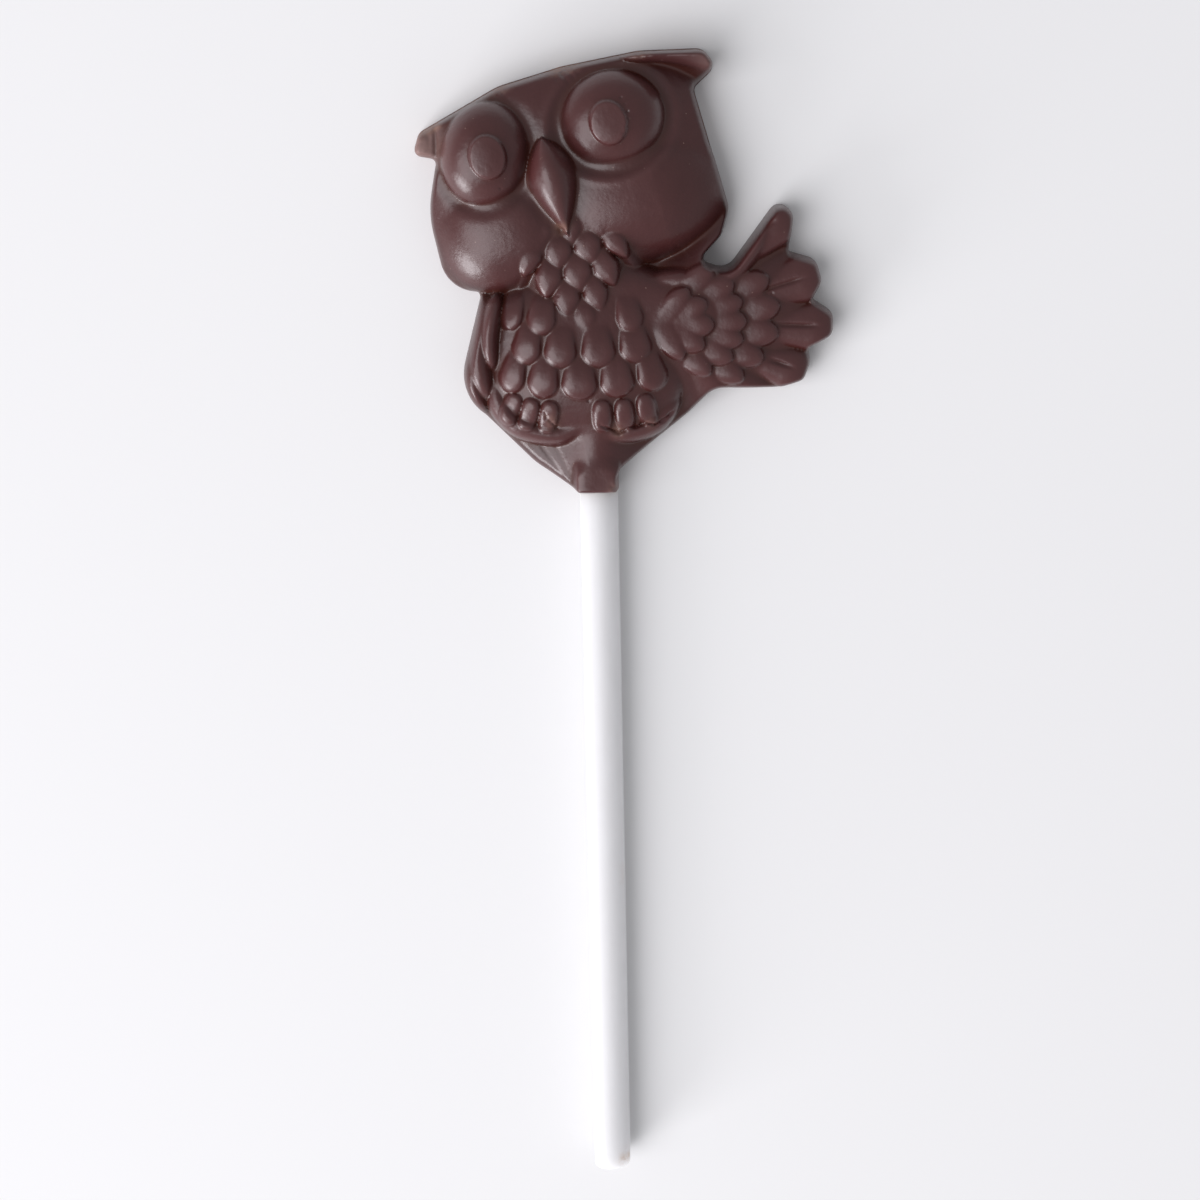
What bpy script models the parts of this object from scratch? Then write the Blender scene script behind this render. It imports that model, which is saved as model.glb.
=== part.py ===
"""A milk chocolate owl moulded on a rolled paper stick, lying on its flat back.

The chocolate is one casting with a flat back: its face is a height over the
outline, built up from domes, ridges and overlapping feathers. The stick is a
solid rod that goes into a blind hole in the chocolate.

Frame: +X to the owl's left wing tip, +Y along the stick toward the head, +Z out
of the flat back. The origin is on the back, on the line of the stick, above the
stick's inner end. Relief sizes are in millimetres until the meshes are made.
"""
import math

import bmesh
import bpy
import numpy as np
from mathutils import Matrix
from mathutils.geometry import delaunay_2d_cdt

MM = 0.001

# Stick: a standard four and a half inch rolled paper stick
STICK_LENGTH = 114.0
STICK_ROOT_Y = 2.0
STICK_RADIUS = 2.25
STICK_AXIS_HEIGHT = 3.0
STICK_EDGE = 0.25
STICK_SIDES = 48
FIT_GAP = 0.3
HOLE_OVERRUN = 2.0

# Edge of the casting: width of its rounding, wider below the folded wing, and how full the round is
EDGE_WIDTH = 0.75
EDGE_WIDER = 0.9
EDGE_WIDER_FROM = (-2.0, -1.0)
EDGE_WIDER_RUN = 5.0
EDGE_POWER = 2.8

# Mesh of the casting
OUTLINE_STEP = 0.8
OUTLINE_BLUR = 0.16
LOOP_STEP = 0.1
GRID_STEP = 0.82
RING_OFFSETS = (0.06, 0.26, 0.66)
CLEAR_OF_CORNERS = 0.93
CLEAR_OF_RINGS = 0.55
WELD = 1e-6
SMOOTH_BELOW = math.radians(50)

# Fillets where one form meets the next, and how steeply a dome falls away outside its rim
FINE_FILLET = 0.1
SOFT_FILLET = 0.3
BROAD_FILLET = 0.5
DOME_FALL = 1.5

# Web and boss: levels are heights above the flat back
WEB_LEVEL = 3.2
WEB_SLOPE = 0.12
WEB_SLOPE_WIDTH = 8.0
WEB_CREASES = (((-6.9, -18.6), (-5.3, -21.0), (-3.6, -23.6)), ((-4.9, -19.2), (-4.0, -21.0), (-3.3, -23.0)))
CREASE_DEPTH = 0.1
CREASE_HALF = 0.3
SPINE_RISE = 2.5
SPINE_HALF = 4.2
SPINE_FROM_Y = -6.0
SPINE_RUN = 6.0
BOSS_LEVEL = 6.3
BOSS_HALF = 3.0
BOSS_FOOT = 0.25
BOSS_LEFT_FOOT = 0.7
BOSS_CROWN = 0.25
BOSS_SLOPE = 0.05
BOSS_MIDDLE_Y = -21.5
BOSS_TOP_Y = -19.6
BOSS_ARCH = 0.12
BOSS_STEP = 2.2
MOUTH_Y = -24.7

# Outline outside the raised wing, clockwise: X, Y and radius of each corner
LEFT_CORNERS = ((-BOSS_HALF, MOUTH_Y, 0.3), (-7.5, -21.3, 9.0), (-16.4, -12.3, 6.0))
HEAD_CORNERS = ((-13.3, -0.9, 0.5), (-17.3, -0.7, 4.3), (-19.2, 8.3, 12.0), (-18.0, 14.4, 0.5),
                (-20.9, 14.9, 1.0), (-20.1, 17.5, 1.4), (-10.8, 22.55, 8.0), (-3.4, 24.65, 8.0),
                (5.5, 26.25, 8.0), (13.0, 26.4, 1.7), (14.6, 24.3, 1.3), (11.9, 21.9, 0.8),
                (15.9, 8.2, 2.5), (14.9, 5.1, 1.5), (12.1, 2.3, 0.8), (15.6, 1.1, 2.0))
RIGHT_CORNERS = ((21.5, -12.8, 3.0), (13.8, -12.6, 2.5), (10.9, -15.6, 5.0),
                 (BOSS_HALF + BOSS_FOOT, -22.0, 0.4), (BOSS_HALF, -22.6, 0.2), (BOSS_HALF, MOUTH_Y, 0.3))

# Belly, and the rows of feathers on it: Y of the row, then X and half width of each feather
BELLY_LEVEL = 7.9
BELLY_BULK = 4.3
BELLY_AT = (-1.0, -8.0)
BELLY_HALF = (12.0, 10.2)
BELLY_POWER = 2.5
BELLY_MIDDLE = -1.5
BELLY_SAG = 0.012
BELLY_SPREAD = 0.03
BELLY_FEATHER = {"tip": 2.0, "length": 5.0, "rise": 0.75, "full": 3.4}
BELLY_ROWS = (
    (-11.2, ((-9.8, 1.6), (-6.2, 1.9), (-2.0, 2.2), (2.4, 2.1), (6.5, 1.9))),
    (-7.5, ((-8.0, 1.8), (-4.1, 2.0), (0.3, 2.1), (4.6, 2.0))),
    (-3.9, ((-9.7, 1.5), (-6.2, 1.8), (4.0, 1.7))),
)
ROOT_TAPER = 0.45

# Feet: toes over a wavy ledge
TOES = ((-10.1, -14.2), (-8.0, -14.8), (-5.7, -15.1), (0.6, -15.1), (3.2, -15.0), (5.8, -14.5))
TOE_HALF = (1.25, 2.1)
TOE_SPREAD = 2.0
TOE_POWER = 2.6
TOE_RISE = 0.75
TOE_SINK = 0.35
TOE_FULL = 3.2
LEDGE_LEVEL = 4.1
LEDGE_WELT = {"half": 1.7, "rise": 2.2, "sink": 1.0, "taper": 0.4, "blunt": 4.0}
LEDGE = ((-11.9, -9.5), (-11.6, -13.4), (-9.4, -16.2), (-5.0, -17.3), (-1.7, -16.4), (2.4, -17.3),
         (6.6, -16.3), (9.8, -13.0))

# Folded wing: half width, rise and line of each feather
FOLDED_LEVEL = 3.7
FOLDED_TILT = 0.2
FOLDED_TILT_HALF = 1.5
FOLDED_WING = (
    (2.5, 2.6, ((-12.0, -0.6), (-14.2, -6.0), (-14.9, -10.5), (-13.6, -15.5))),
    (1.9, 3.2, ((-11.6, -0.8), (-13.2, -5.5), (-13.5, -9.5), (-12.4, -13.6))),
    (1.5, 3.8, ((-11.0, -0.4), (-11.9, -3.6), (-12.3, -6.6), (-11.9, -10.4))),
)

# Raised wing: where its feathers fan out from, then direction in degrees and reach
FAN_AT = (7.5, -4.5)
PRIMARIES = ((40.5, 19.4), (16.0, 19.2), (-2.5, 20.1), (-20.0, 18.2))
NOTCHES = ((26.5, 17.0), (6.5, 18.1), (-11.5, 17.9))
TIP_SPREAD = 3.6
TIP_PAST = 1.02
TIP_RADIUS = 1.3
NOTCH_RADIUS = 0.25
BLADE_LEVEL = 3.4
BLADE_RISE = 1.9
BLADE_STEP = 0.15
BLADE_TILT = 0.4
BLADE_HALF = 3.0
BLADE_HALF_REACH = 17.0
BLADE_HALF_LIMITS = (0.3, 1.3)
BLADE_TIP = 2.6
BLADE_TIP_ROUND = 3.2
BLADE_FULL = 2.6
SHAFT_DEPTH = 0.3
SHAFT_HALF = 0.24
SHAFT_FROM = 8.0
SHAFT_SHORT = 1.0
SHAFT_FADE = 2.5
ARM = ((1.5, -1.4), (6.5, -3.2), (11.5, -3.6))
ARM_LEVEL = 7.1
ARM_BULK = 3.9
ARM_HALF = 5.4
ARM_TAPER = 0.8
ARM_FULL = 2.6
LEADING_EDGE = ((5.5, 0.2), (10.5, 0.4), (14.6, 0.2), (17.4, 2.8), (20.2, 6.9))
LEADING_LEVEL = 4.6
LEADING_WELT = {"half": 1.5, "rise": 2.0, "blunt": 5.0}

# Coverts over the wing: level and tip length of each row, then direction, reach and half width
COVERT_ROWS = (
    (5.1, 3.4, ((-36, 11.9, 1.9), (36, 13.0, 1.9), (-21, 12.9, 2.0), (21, 13.6, 2.0), (-6.5, 13.9, 2.1),
                (7, 14.1, 2.1))),
    (5.8, 3.2, ((-47, 8.4, 1.8), (47, 9.0, 1.8), (-28, 9.5, 1.9), (28, 9.7, 1.9), (0, 10.1, 2.0),
                (-13, 9.9, 1.9), (14, 9.9, 1.9))),
    (6.5, 2.8, ((-58, 4.9, 1.7), (50, 5.2, 1.7), (-30, 5.9, 1.8), (24, 6.0, 1.8), (-3, 6.3, 1.9))),
)
COVERT_POWER = 1.8
COVERT_RISE = 1.0
COVERT_SINK = 0.1
COVERT_FULL = 2.8
COVERT_SLOPE = 0.14
COVERT_LENGTH = 3.4
COVERT_ROOT = 1.5

# Head: its own tilted frame, in which the ovals and lines below are given
HEAD_AT = (-1.6, 12.8)
HEAD_TURN = math.radians(14)
HEAD_LEVEL = 7.9
HEAD_BULK = 4.9
SKULL_AT = (-0.4, 0.2)
SKULL_HALF = (18.4, 12.7)
SKULL_POWER = 3.4
RIGHT_FALL = (8.0, 0.1, 1.3)
LEFT_FALL = (12.0, 0.05, 1.5)
SKULL_FULL = 3.0
TUFT_LEVEL = 6.3
TUFT_WELT = {"half": 2.1, "rise": 1.6, "blunt": 3.0}
TUFT = ((7.5, 12.0), (12.5, 11.4), (16.2, 9.8), (19.6, 6.9))
LOBE_LEVEL = 2.8
LOBE_AT = (-16.7, 7.3)
LOBE_HALF = (2.4, 3.0)
LOBE_RISE = 2.9
LOBE_FULL = 2.4
LOBE_CREASE = ((-14.2, 11.0), (-14.7, 8.0), (-15.6, 4.6))
LOBE_CREASE_DEPTH = 0.6
LOBE_CREASE_HALF = 0.3

# Cheeks and eyes: centre, turn in degrees and half sizes, then the rise of the rim round an eye
CHEEKS = ((-11.4, -5.2, 12, 7.0, 6.4), (7.4, -4.9, -14, 9.6, 6.6))
CHEEK_POWER = 2.2
CHEEK_DROP = 0.3
CHEEK_RISE = 1.25
CHEEK_SINK = 0.9
CHEEK_FULL = 2.8
EYES = ((5.2, 4.7, 0, 6.1, 5.5, 0.1), (-9.6, 4.6, -28, 5.2, 6.0, 0.0))
EYE_LEVEL = 10.3
EYE_BULK = 3.0
EYE_SINK = 1.6
EYE_FULL = 2.5
SOCKET = {"at": 1.04, "depth": 0.25, "half": 0.8}
SOCKET_RIM = {"at": 1.24, "half": 0.6}
PUPIL_HALF = (2.05, 2.45)
PUPIL_SHIFT = -0.2
PUPIL_SQUEEZE = 0.95
PUPIL_RISE = 0.5
PUPIL_EDGE = 0.16

# Beak
BEAK_AT = (-3.0, 0.2)
BEAK_LEVEL = 10.7
BEAK_HALF = 2.7
BEAK_ABOVE = 4.6
BEAK_BELOW = 6.8
BEAK_FLANK = 2.6
BEAK_FULL = 2.3
BEAK_ROUND = 0.6
BEAK_POINT = 1.8
BEAK_SPILL = 3.0
BEAK_CREST = 0.5
BEAK_BOW_ABOVE = 0.095
BEAK_BOW_BELOW = 0.05

# Ruff under the beak: like the belly rows, in a frame of its own
RUFF_AT = (-2.2, 4.0)
RUFF_TURN = math.radians(9)
RUFF_LEVEL = 7.2
RUFF_SPREAD = 0.1
RUFF_REACH = 4.2
RUFF_FADE = 2.0
RUFF_FEATHER = {"tip": 2.5, "length": 4.0, "rise": 0.8, "power": 1.5, "full": 2.8}
RUFF_ROWS = (
    (-7.7, ((-0.1, 1.6),)),
    (-5.1, ((-1.8, 1.7), (1.5, 1.6))),
    (-2.4, ((-3.4, 1.7), (-0.1, 1.9), (3.1, 1.6))),
    (0.4, ((-5.1, 1.6), (-1.8, 1.8), (1.6, 1.8), (4.7, 1.4))),
    (3.0, ((-3.4, 1.7), (0.0, 1.7), (3.1, 1.5))),
)

DOWN = math.radians(-90)
BURIED = 9.0
NEVER_ZERO = 0.02


def placed(p, q, at, angle):
    """Point (p, q) of a frame set at a centre and turned by an angle."""
    cos, sin = math.cos(angle), math.sin(angle)
    return at[0] + p * cos - q * sin, at[1] + p * sin + q * cos


def turned(x, y, at, angle):
    """Coordinates of (x, y) in a frame set at a centre and turned by an angle."""
    dx, dy = x - at[0], y - at[1]
    cos, sin = math.cos(angle), math.sin(angle)
    return dx * cos + dy * sin, dy * cos - dx * sin


def on_head(p, q):
    """Point given in the tilted frame of the head."""
    return placed(p, q, HEAD_AT, HEAD_TURN)


def on_fan(degrees, reach):
    """Point at a direction and reach from the root of the raised wing."""
    return placed(reach, 0.0, FAN_AT, math.radians(degrees))


def ease(t):
    """Smooth step from 0 to 1."""
    t = np.clip(t, 0, 1)
    return t * t * (3 - 2 * t)


def merge(a, b, fillet):
    """The larger of two heights, with a fillet where they meet."""
    return 0.5 * (a + b + np.sqrt((a - b) ** 2 + fillet * fillet))


def oval(x, y, at, angle, half_a, half_b, power=2.0):
    """Distance from a centre in units of an oval: 1 on its rim."""
    u, v = turned(x, y, at, angle)
    return (np.abs(u / half_a) ** power + np.abs(v / half_b) ** power) ** (1 / power)


def dome(r, rise, sink=0.0, full=2.0):
    """Height of a dome that starts sink below its surface; falls away past r = 1."""
    inside = np.sqrt(np.clip(1 - np.clip(r, 0, 1) ** full, 0, 1))
    return (rise + sink) * np.where(r < 1, inside, -DOME_FALL * (r - 1)) - sink


def bell(distance, width):
    """1 on a line, fading to 0 about a width away."""
    return np.exp(-(distance / width) ** 2)


def bend(points, steps=9):
    """Smooth run of points through a few control points."""
    c = np.array(points, float)
    c = np.vstack([2 * c[0] - c[1], c, 2 * c[-1] - c[-2]])
    t = np.linspace(0, 1, steps, endpoint=False)[:, None]
    parts = []
    for p0, p1, p2, p3 in zip(c[:-3], c[1:-2], c[2:-1], c[3:]):
        cubic = (3 * p1 - p0 - 3 * p2 + p3) * t ** 3
        square = (2 * p0 - 5 * p1 + 4 * p2 - p3) * t ** 2
        parts.append(0.5 * (2 * p1 + (p2 - p0) * t + square + cubic))
    return np.vstack(parts + [c[-2:-1]])


def from_run(x, y, run):
    """Distance from a run of points, place along it from 0 to 1, and signed side."""
    near = np.full(np.shape(x), 1e9)
    along = np.zeros(np.shape(x))
    side = np.zeros(np.shape(x))
    lengths = np.linalg.norm(np.diff(run, axis=0), axis=1)
    passed = 0.0
    for a, b, length in zip(run[:-1], run[1:], lengths):
        d = b - a
        t = np.clip(((x - a[0]) * d[0] + (y - a[1]) * d[1]) / length ** 2, 0, 1)
        ex, ey = x - a[0] - t * d[0], y - a[1] - t * d[1]
        r = np.hypot(ex, ey)
        closer = r < near
        near = np.where(closer, r, near)
        along = np.where(closer, (passed + t * length) / lengths.sum(), along)
        side = np.where(closer, np.sign(d[0] * ey - d[1] * ex) * r, side)
        passed += length
    return near, along, side


def welt(x, y, run, half, rise, sink=0.6, taper=0.5, blunt=2.6):
    """Long rounded ridge along a run of points, narrow and low at both ends; also its signed side."""
    near, along, side = from_run(x, y, run)
    part = np.clip(1 - np.abs(2 * along - 1) ** blunt, 0, 1) ** taper
    ridge = dome(near / (half * part + NEVER_ZERO), rise + sink)
    return np.where(ridge > 0, part * ridge, ridge) - sink, side


def feather(x, y, at, way, half, tip, length, rise, sink=0.35, power=2.0, full=2.0):
    """Bump of a feather whose round end points along way and whose root fades out."""
    u, v = turned(x, y, at, way)
    ahead = np.clip(u, 0, None) / tip
    width = half * (1 - ROOT_TAPER * np.clip(-u / length, 0, 1))
    r = (ahead ** power + np.abs(v / width) ** power) ** (1 / power)
    return (rise + sink) * dome(r, 1.0, full=full) * ease((u + length) / length) - sink


def rounded_loop(corners):
    """Closed line through corners given as (x, y, radius), each turned by an arc."""
    table = np.array(corners, float)
    points, radius = table[:, :2], table[:, 2]
    before = np.roll(points, 1, 0) - points
    after = np.roll(points, -1, 0) - points
    before /= np.linalg.norm(before, axis=1)[:, None]
    after /= np.linalg.norm(after, axis=1)[:, None]
    half = 0.5 * np.arccos(np.clip((before * after).sum(1), -1, 1))
    pieces = []
    for point, u, v, r, h in zip(points, before, after, radius, half):
        middle = (u + v) / np.linalg.norm(u + v) * r / math.sin(h)
        start = u * r / math.tan(h) - middle
        stop = v * r / math.tan(h) - middle
        turn = math.atan2(start[0] * stop[1] - start[1] * stop[0], start @ stop)
        count = int(abs(turn) * r / LOOP_STEP) + 3
        angle = math.atan2(start[1], start[0]) + turn * np.linspace(0, 1, count)
        arc = np.stack([np.cos(angle), np.sin(angle)], 1) * r
        pieces.append(point + middle + arc)
    return np.concatenate(pieces)


def evenly(loop, spacing):
    """The loop at an even spacing, its corners softened over OUTLINE_BLUR."""
    closed = np.vstack([loop, loop[:1]])
    passed = np.r_[0, np.cumsum(np.linalg.norm(np.diff(closed, axis=0), axis=1))]
    fine = int(round(passed[-1] / LOOP_STEP))
    at = np.linspace(0, passed[-1], fine, endpoint=False)
    even = np.stack([np.interp(at, passed, closed[:, k]) for k in (0, 1)], 1)
    damp = np.exp(-2 * (math.pi * np.fft.fftfreq(fine) * OUTLINE_BLUR / LOOP_STEP) ** 2)
    even = np.real(np.fft.ifft(np.fft.fft(even, axis=0) * damp[:, None], axis=0))
    even = np.vstack([even, even[:1]])
    count = int(round(passed[-1] / spacing))
    pick = np.linspace(0, fine, count, endpoint=False)
    return np.stack([np.interp(pick, np.arange(fine + 1), even[:, k]) for k in (0, 1)], 1)


def outline(spacing):
    """Edge of the casting, clockwise from the mouth of the stick hole."""
    fan = []
    for k, (degrees, reach) in enumerate(PRIMARIES):
        for spread in (TIP_SPREAD, -TIP_SPREAD):
            fan.append((*on_fan(degrees + spread, reach * TIP_PAST), TIP_RADIUS))
        if k < len(NOTCHES):
            fan.append((*on_fan(*NOTCHES[k]), NOTCH_RADIUS))
    return evenly(rounded_loop(LEFT_CORNERS + HEAD_CORNERS + tuple(fan) + RIGHT_CORNERS), spacing)


def inside_distance(x, y, loop, block=4000):
    """Distance to a closed line, positive inside it."""
    a, d = loop, np.roll(loop, -1, 0) - loop
    out = np.empty(len(x))
    for i in range(0, len(x), block):
        px, py = x[i:i + block, None], y[i:i + block, None]
        ex, ey = px - a[:, 0], py - a[:, 1]
        t = np.clip((ex * d[:, 0] + ey * d[:, 1]) / (d ** 2).sum(1), 0, 1)
        near = np.sqrt(((ex - t * d[:, 0]) ** 2 + (ey - t * d[:, 1]) ** 2).min(1))
        spans = (a[:, 1] > py) != (a[:, 1] + d[:, 1] > py)
        rise = np.where(d[:, 1] == 0, 1.0, d[:, 1])
        odd = (spans & (ex < ey * d[:, 0] / rise)).sum(1) % 2 == 1
        out[i:i + block] = np.where(odd, near, -near)
    return out


def web_and_boss(x, y, d):
    """Plate between the feet and the stick, with the boss that holds the stick."""
    spine = SPINE_RISE * bell(x, SPINE_HALF) * ease((SPINE_FROM_Y - y) / SPINE_RUN)
    s = WEB_LEVEL + WEB_SLOPE * np.clip(d, 0, WEB_SLOPE_WIDTH) + spine
    for ends in WEB_CREASES:
        near, _, _ = from_run(x, y, np.array(ends))
        s = s - CREASE_DEPTH * bell(near, CREASE_HALF)
    boss = BOSS_LEVEL - BOSS_CROWN * (x / BOSS_HALF) ** 4 - BOSS_SLOPE * (y - BOSS_MIDDLE_Y)
    foot = np.where(x < 0, BOSS_LEFT_FOOT, BOSS_FOOT)
    across = ease((BOSS_HALF + foot - np.abs(x)) / foot)
    on_boss = across * ease((BOSS_TOP_Y - BOSS_ARCH * x ** 2 - y) / BOSS_STEP)
    return s * (1 - on_boss) + np.maximum(boss, s) * on_boss


def belly_feathers(x, y, s):
    """Rows of feathers that sag a little to the sides, each laid over the one below."""
    base = s
    for y0, row in BELLY_ROWS:
        for x0, half in row:
            out = x0 - BELLY_MIDDLE
            at = (x0, y0 + BELLY_SAG * out ** 2)
            bump = feather(x, y, at, DOWN + BELLY_SPREAD * out, half, **BELLY_FEATHER)
            s = merge(s, base + bump, FINE_FILLET)
    return s


def lower_half(x, y, d):
    """Web, belly with its feathers, feet on a ledge, and the folded wing."""
    rim = oval(x, y, BELLY_AT, 0, *BELLY_HALF, BELLY_POWER)
    belly = BELLY_LEVEL - BELLY_BULK + dome(rim, BELLY_BULK, full=BELLY_POWER)
    s = merge(web_and_boss(x, y, d), belly, BROAD_FILLET)
    rise, _ = welt(x, y, bend(LEDGE), **LEDGE_WELT)
    s = merge(s, LEDGE_LEVEL + rise, SOFT_FILLET)
    base = s
    for x0, y0 in TOES:
        toe = oval(x, y, (x0, y0), math.radians(TOE_SPREAD * x0), *TOE_HALF, TOE_POWER)
        s = merge(s, base + dome(toe, TOE_RISE, TOE_SINK, TOE_FULL), FINE_FILLET)
    s = belly_feathers(x, y, s)
    for half, rise, points in FOLDED_WING:
        height, side = welt(x, y, bend(points), half, rise)
        tilt = FOLDED_TILT * np.clip(side, -FOLDED_TILT_HALF, FOLDED_TILT_HALF)
        s = merge(s, FOLDED_LEVEL + height - tilt, FINE_FILLET)
    return s


def with_primaries(x, y, s):
    """Long outer feathers of the raised wing, each with the groove of its shaft."""
    for k, (degrees, reach) in enumerate(PRIMARIES[::-1]):
        u, v = turned(x, y, FAN_AT, math.radians(degrees))
        half = BLADE_HALF * np.clip(u / BLADE_HALF_REACH, *BLADE_HALF_LIMITS)
        r = np.hypot(np.clip(u - reach + BLADE_TIP, 0, None) / BLADE_TIP_ROUND, v / half)
        along_shaft = ease((u - SHAFT_FROM) / SHAFT_FADE) * ease((reach - SHAFT_SHORT - u) / SHAFT_FADE)
        shaft = SHAFT_DEPTH * bell(v, SHAFT_HALF) * along_shaft
        level = BLADE_LEVEL + BLADE_STEP * k - BLADE_TILT * v / half
        s = np.where(u > 0, merge(s, level + dome(r, BLADE_RISE, full=BLADE_FULL) - shaft, FINE_FILLET), s)
    return s


def raised_wing(x, y):
    """Four primaries fanned out from the shoulder under three rows of coverts."""
    s = with_primaries(x, y, np.zeros(np.shape(x)))
    near, along, _ = from_run(x, y, bend(ARM))
    arm = ARM_LEVEL - ARM_BULK + dome(near / (ARM_HALF - ARM_TAPER * along), ARM_BULK, full=ARM_FULL)
    s = merge(s, arm, SOFT_FILLET)
    for level, tip, row in COVERT_ROWS:
        for degrees, reach, half in row:
            u, v = turned(x, y, on_fan(degrees, reach - tip), math.radians(degrees))
            ahead = np.clip(u, 0, None) / tip
            r = (ahead ** COVERT_POWER + np.abs(v / half) ** COVERT_POWER) ** (1 / COVERT_POWER)
            root = BURIED * ease((-u - COVERT_LENGTH) / COVERT_ROOT)
            shingle = level + COVERT_SLOPE * u + dome(r, COVERT_RISE, COVERT_SINK, COVERT_FULL)
            s = merge(s, shingle - root, FINE_FILLET)
    rise, _ = welt(x, y, bend(LEADING_EDGE), **LEADING_WELT)
    return merge(s, LEADING_LEVEL + rise, SOFT_FILLET)


def skull(x, y):
    """Broad mass of the head, falling away to its two sides."""
    p, _ = turned(x, y, HEAD_AT, HEAD_TURN)
    rim = oval(x, y, on_head(*SKULL_AT), HEAD_TURN, *SKULL_HALF, SKULL_POWER)
    fall = 0.0
    for out, (start, amount, power) in ((p, RIGHT_FALL), (-p, LEFT_FALL)):
        fall = fall + amount * np.clip(out - start, 0, None) ** power
    return HEAD_LEVEL - HEAD_BULK + dome(rim, HEAD_BULK, full=SKULL_FULL) - fall


def with_tufts(x, y, s):
    """Right tuft as a welt along the head's edge, left one as a lobe behind a crease."""
    rise, _ = welt(x, y, bend([on_head(*point) for point in TUFT]), **TUFT_WELT)
    s = merge(s, TUFT_LEVEL + rise, SOFT_FILLET)
    near, _, _ = from_run(x, y, bend([on_head(*point) for point in LOBE_CREASE]))
    s = s - LOBE_CREASE_DEPTH * bell(near, LOBE_CREASE_HALF)
    r = oval(x, y, on_head(*LOBE_AT), HEAD_TURN, *LOBE_HALF)
    return merge(s, LOBE_LEVEL + dome(r, LOBE_RISE, full=LOBE_FULL), SOFT_FILLET)


def with_ruff(x, y, s):
    """Pointed feathers under the beak, in a V that ends over the belly."""
    for y0, row in RUFF_ROWS:
        for x0, half in row:
            at = placed(x0, y0, RUFF_AT, RUFF_TURN)
            bump = feather(x, y, at, DOWN + RUFF_TURN + RUFF_SPREAD * x0, half, **RUFF_FEATHER)
            far = ease((np.hypot(x - at[0], y - at[1]) - RUFF_REACH) / RUFF_FADE)
            s = merge(s, RUFF_LEVEL + bump - BURIED * far, FINE_FILLET)
    return s


def with_eyes(x, y, s):
    """Two domed eyes, each in a shallow socket with a soft rim, and each with a raised pupil."""
    for p0, q0, degrees, half_a, half_b, rim in EYES:
        r = oval(x, y, on_head(p0, q0), HEAD_TURN + math.radians(degrees), half_a, half_b)
        s = s - SOCKET["depth"] * bell((r - SOCKET["at"]) * half_a, SOCKET["half"])
        s = s + rim * bell((r - SOCKET_RIM["at"]) * half_a, SOCKET_RIM["half"])
        s = merge(s, EYE_LEVEL - EYE_BULK + dome(r, EYE_BULK, EYE_SINK, EYE_FULL), SOFT_FILLET)
        at = on_head(PUPIL_SQUEEZE * p0 + PUPIL_SHIFT, q0 + PUPIL_SHIFT)
        pupil = oval(x, y, at, HEAD_TURN, *PUPIL_HALF)
        s = s + PUPIL_RISE * ease((1 + PUPIL_EDGE / 2 - pupil) / PUPIL_EDGE)
    return s


def with_head(x, y, s):
    """Head, tufts, cheeks, ruff, eyes and beak laid over the body."""
    bulk = skull(x, y)
    s = with_tufts(x, y, merge(s, bulk, SOFT_FILLET))
    for p0, q0, degrees, half_a, half_b in CHEEKS:
        r = oval(x, y, on_head(p0, q0), HEAD_TURN + math.radians(degrees), half_a, half_b, CHEEK_POWER)
        s = merge(s, bulk - CHEEK_DROP + dome(r, CHEEK_RISE, CHEEK_SINK, CHEEK_FULL), SOFT_FILLET)
    return with_beak(x, y, with_eyes(x, y, with_ruff(x, y, s)))


def with_beak(x, y, s):
    """Kite-shaped beak with a rounded ridge and a tip bent down over the ruff."""
    u, v = turned(x, y, on_head(*BEAK_AT), HEAD_TURN)
    above = np.clip(1 - (np.clip(v, 0, None) / BEAK_ABOVE) ** 2, 0, 1) ** BEAK_ROUND
    below = np.clip(1 - (np.clip(-v, 0, None) / BEAK_BELOW) ** BEAK_POINT, 0, 1)
    half = BEAK_HALF * above * below + NEVER_ZERO
    bow = np.where(v > 0, BEAK_BOW_ABOVE, BEAK_BOW_BELOW)
    crest = BEAK_LEVEL - bow * (v - BEAK_CREST) ** 2
    beak = crest - BEAK_FLANK * np.clip(np.abs(u) / half, 0, BEAK_SPILL) ** BEAK_FULL
    on_beak = (v < BEAK_ABOVE) & (v > -BEAK_BELOW)
    return merge(s, np.where(on_beak, beak, 0), SOFT_FILLET)


def face_height(x, y, d):
    """Height of the casting's face at points that lie d inside the outline."""
    s = merge(lower_half(x, y, d), raised_wing(x, y), SOFT_FILLET)
    s = with_head(x, y, s)
    (x0, y0), run = EDGE_WIDER_FROM, EDGE_WIDER_RUN
    width = EDGE_WIDTH + EDGE_WIDER * ease((x0 - x) / run) * ease((y0 - y) / run)
    rim = np.clip(d / width, 0, 1)
    return s * (1 - (1 - rim) ** EDGE_POWER) ** (1 / EDGE_POWER)


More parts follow.
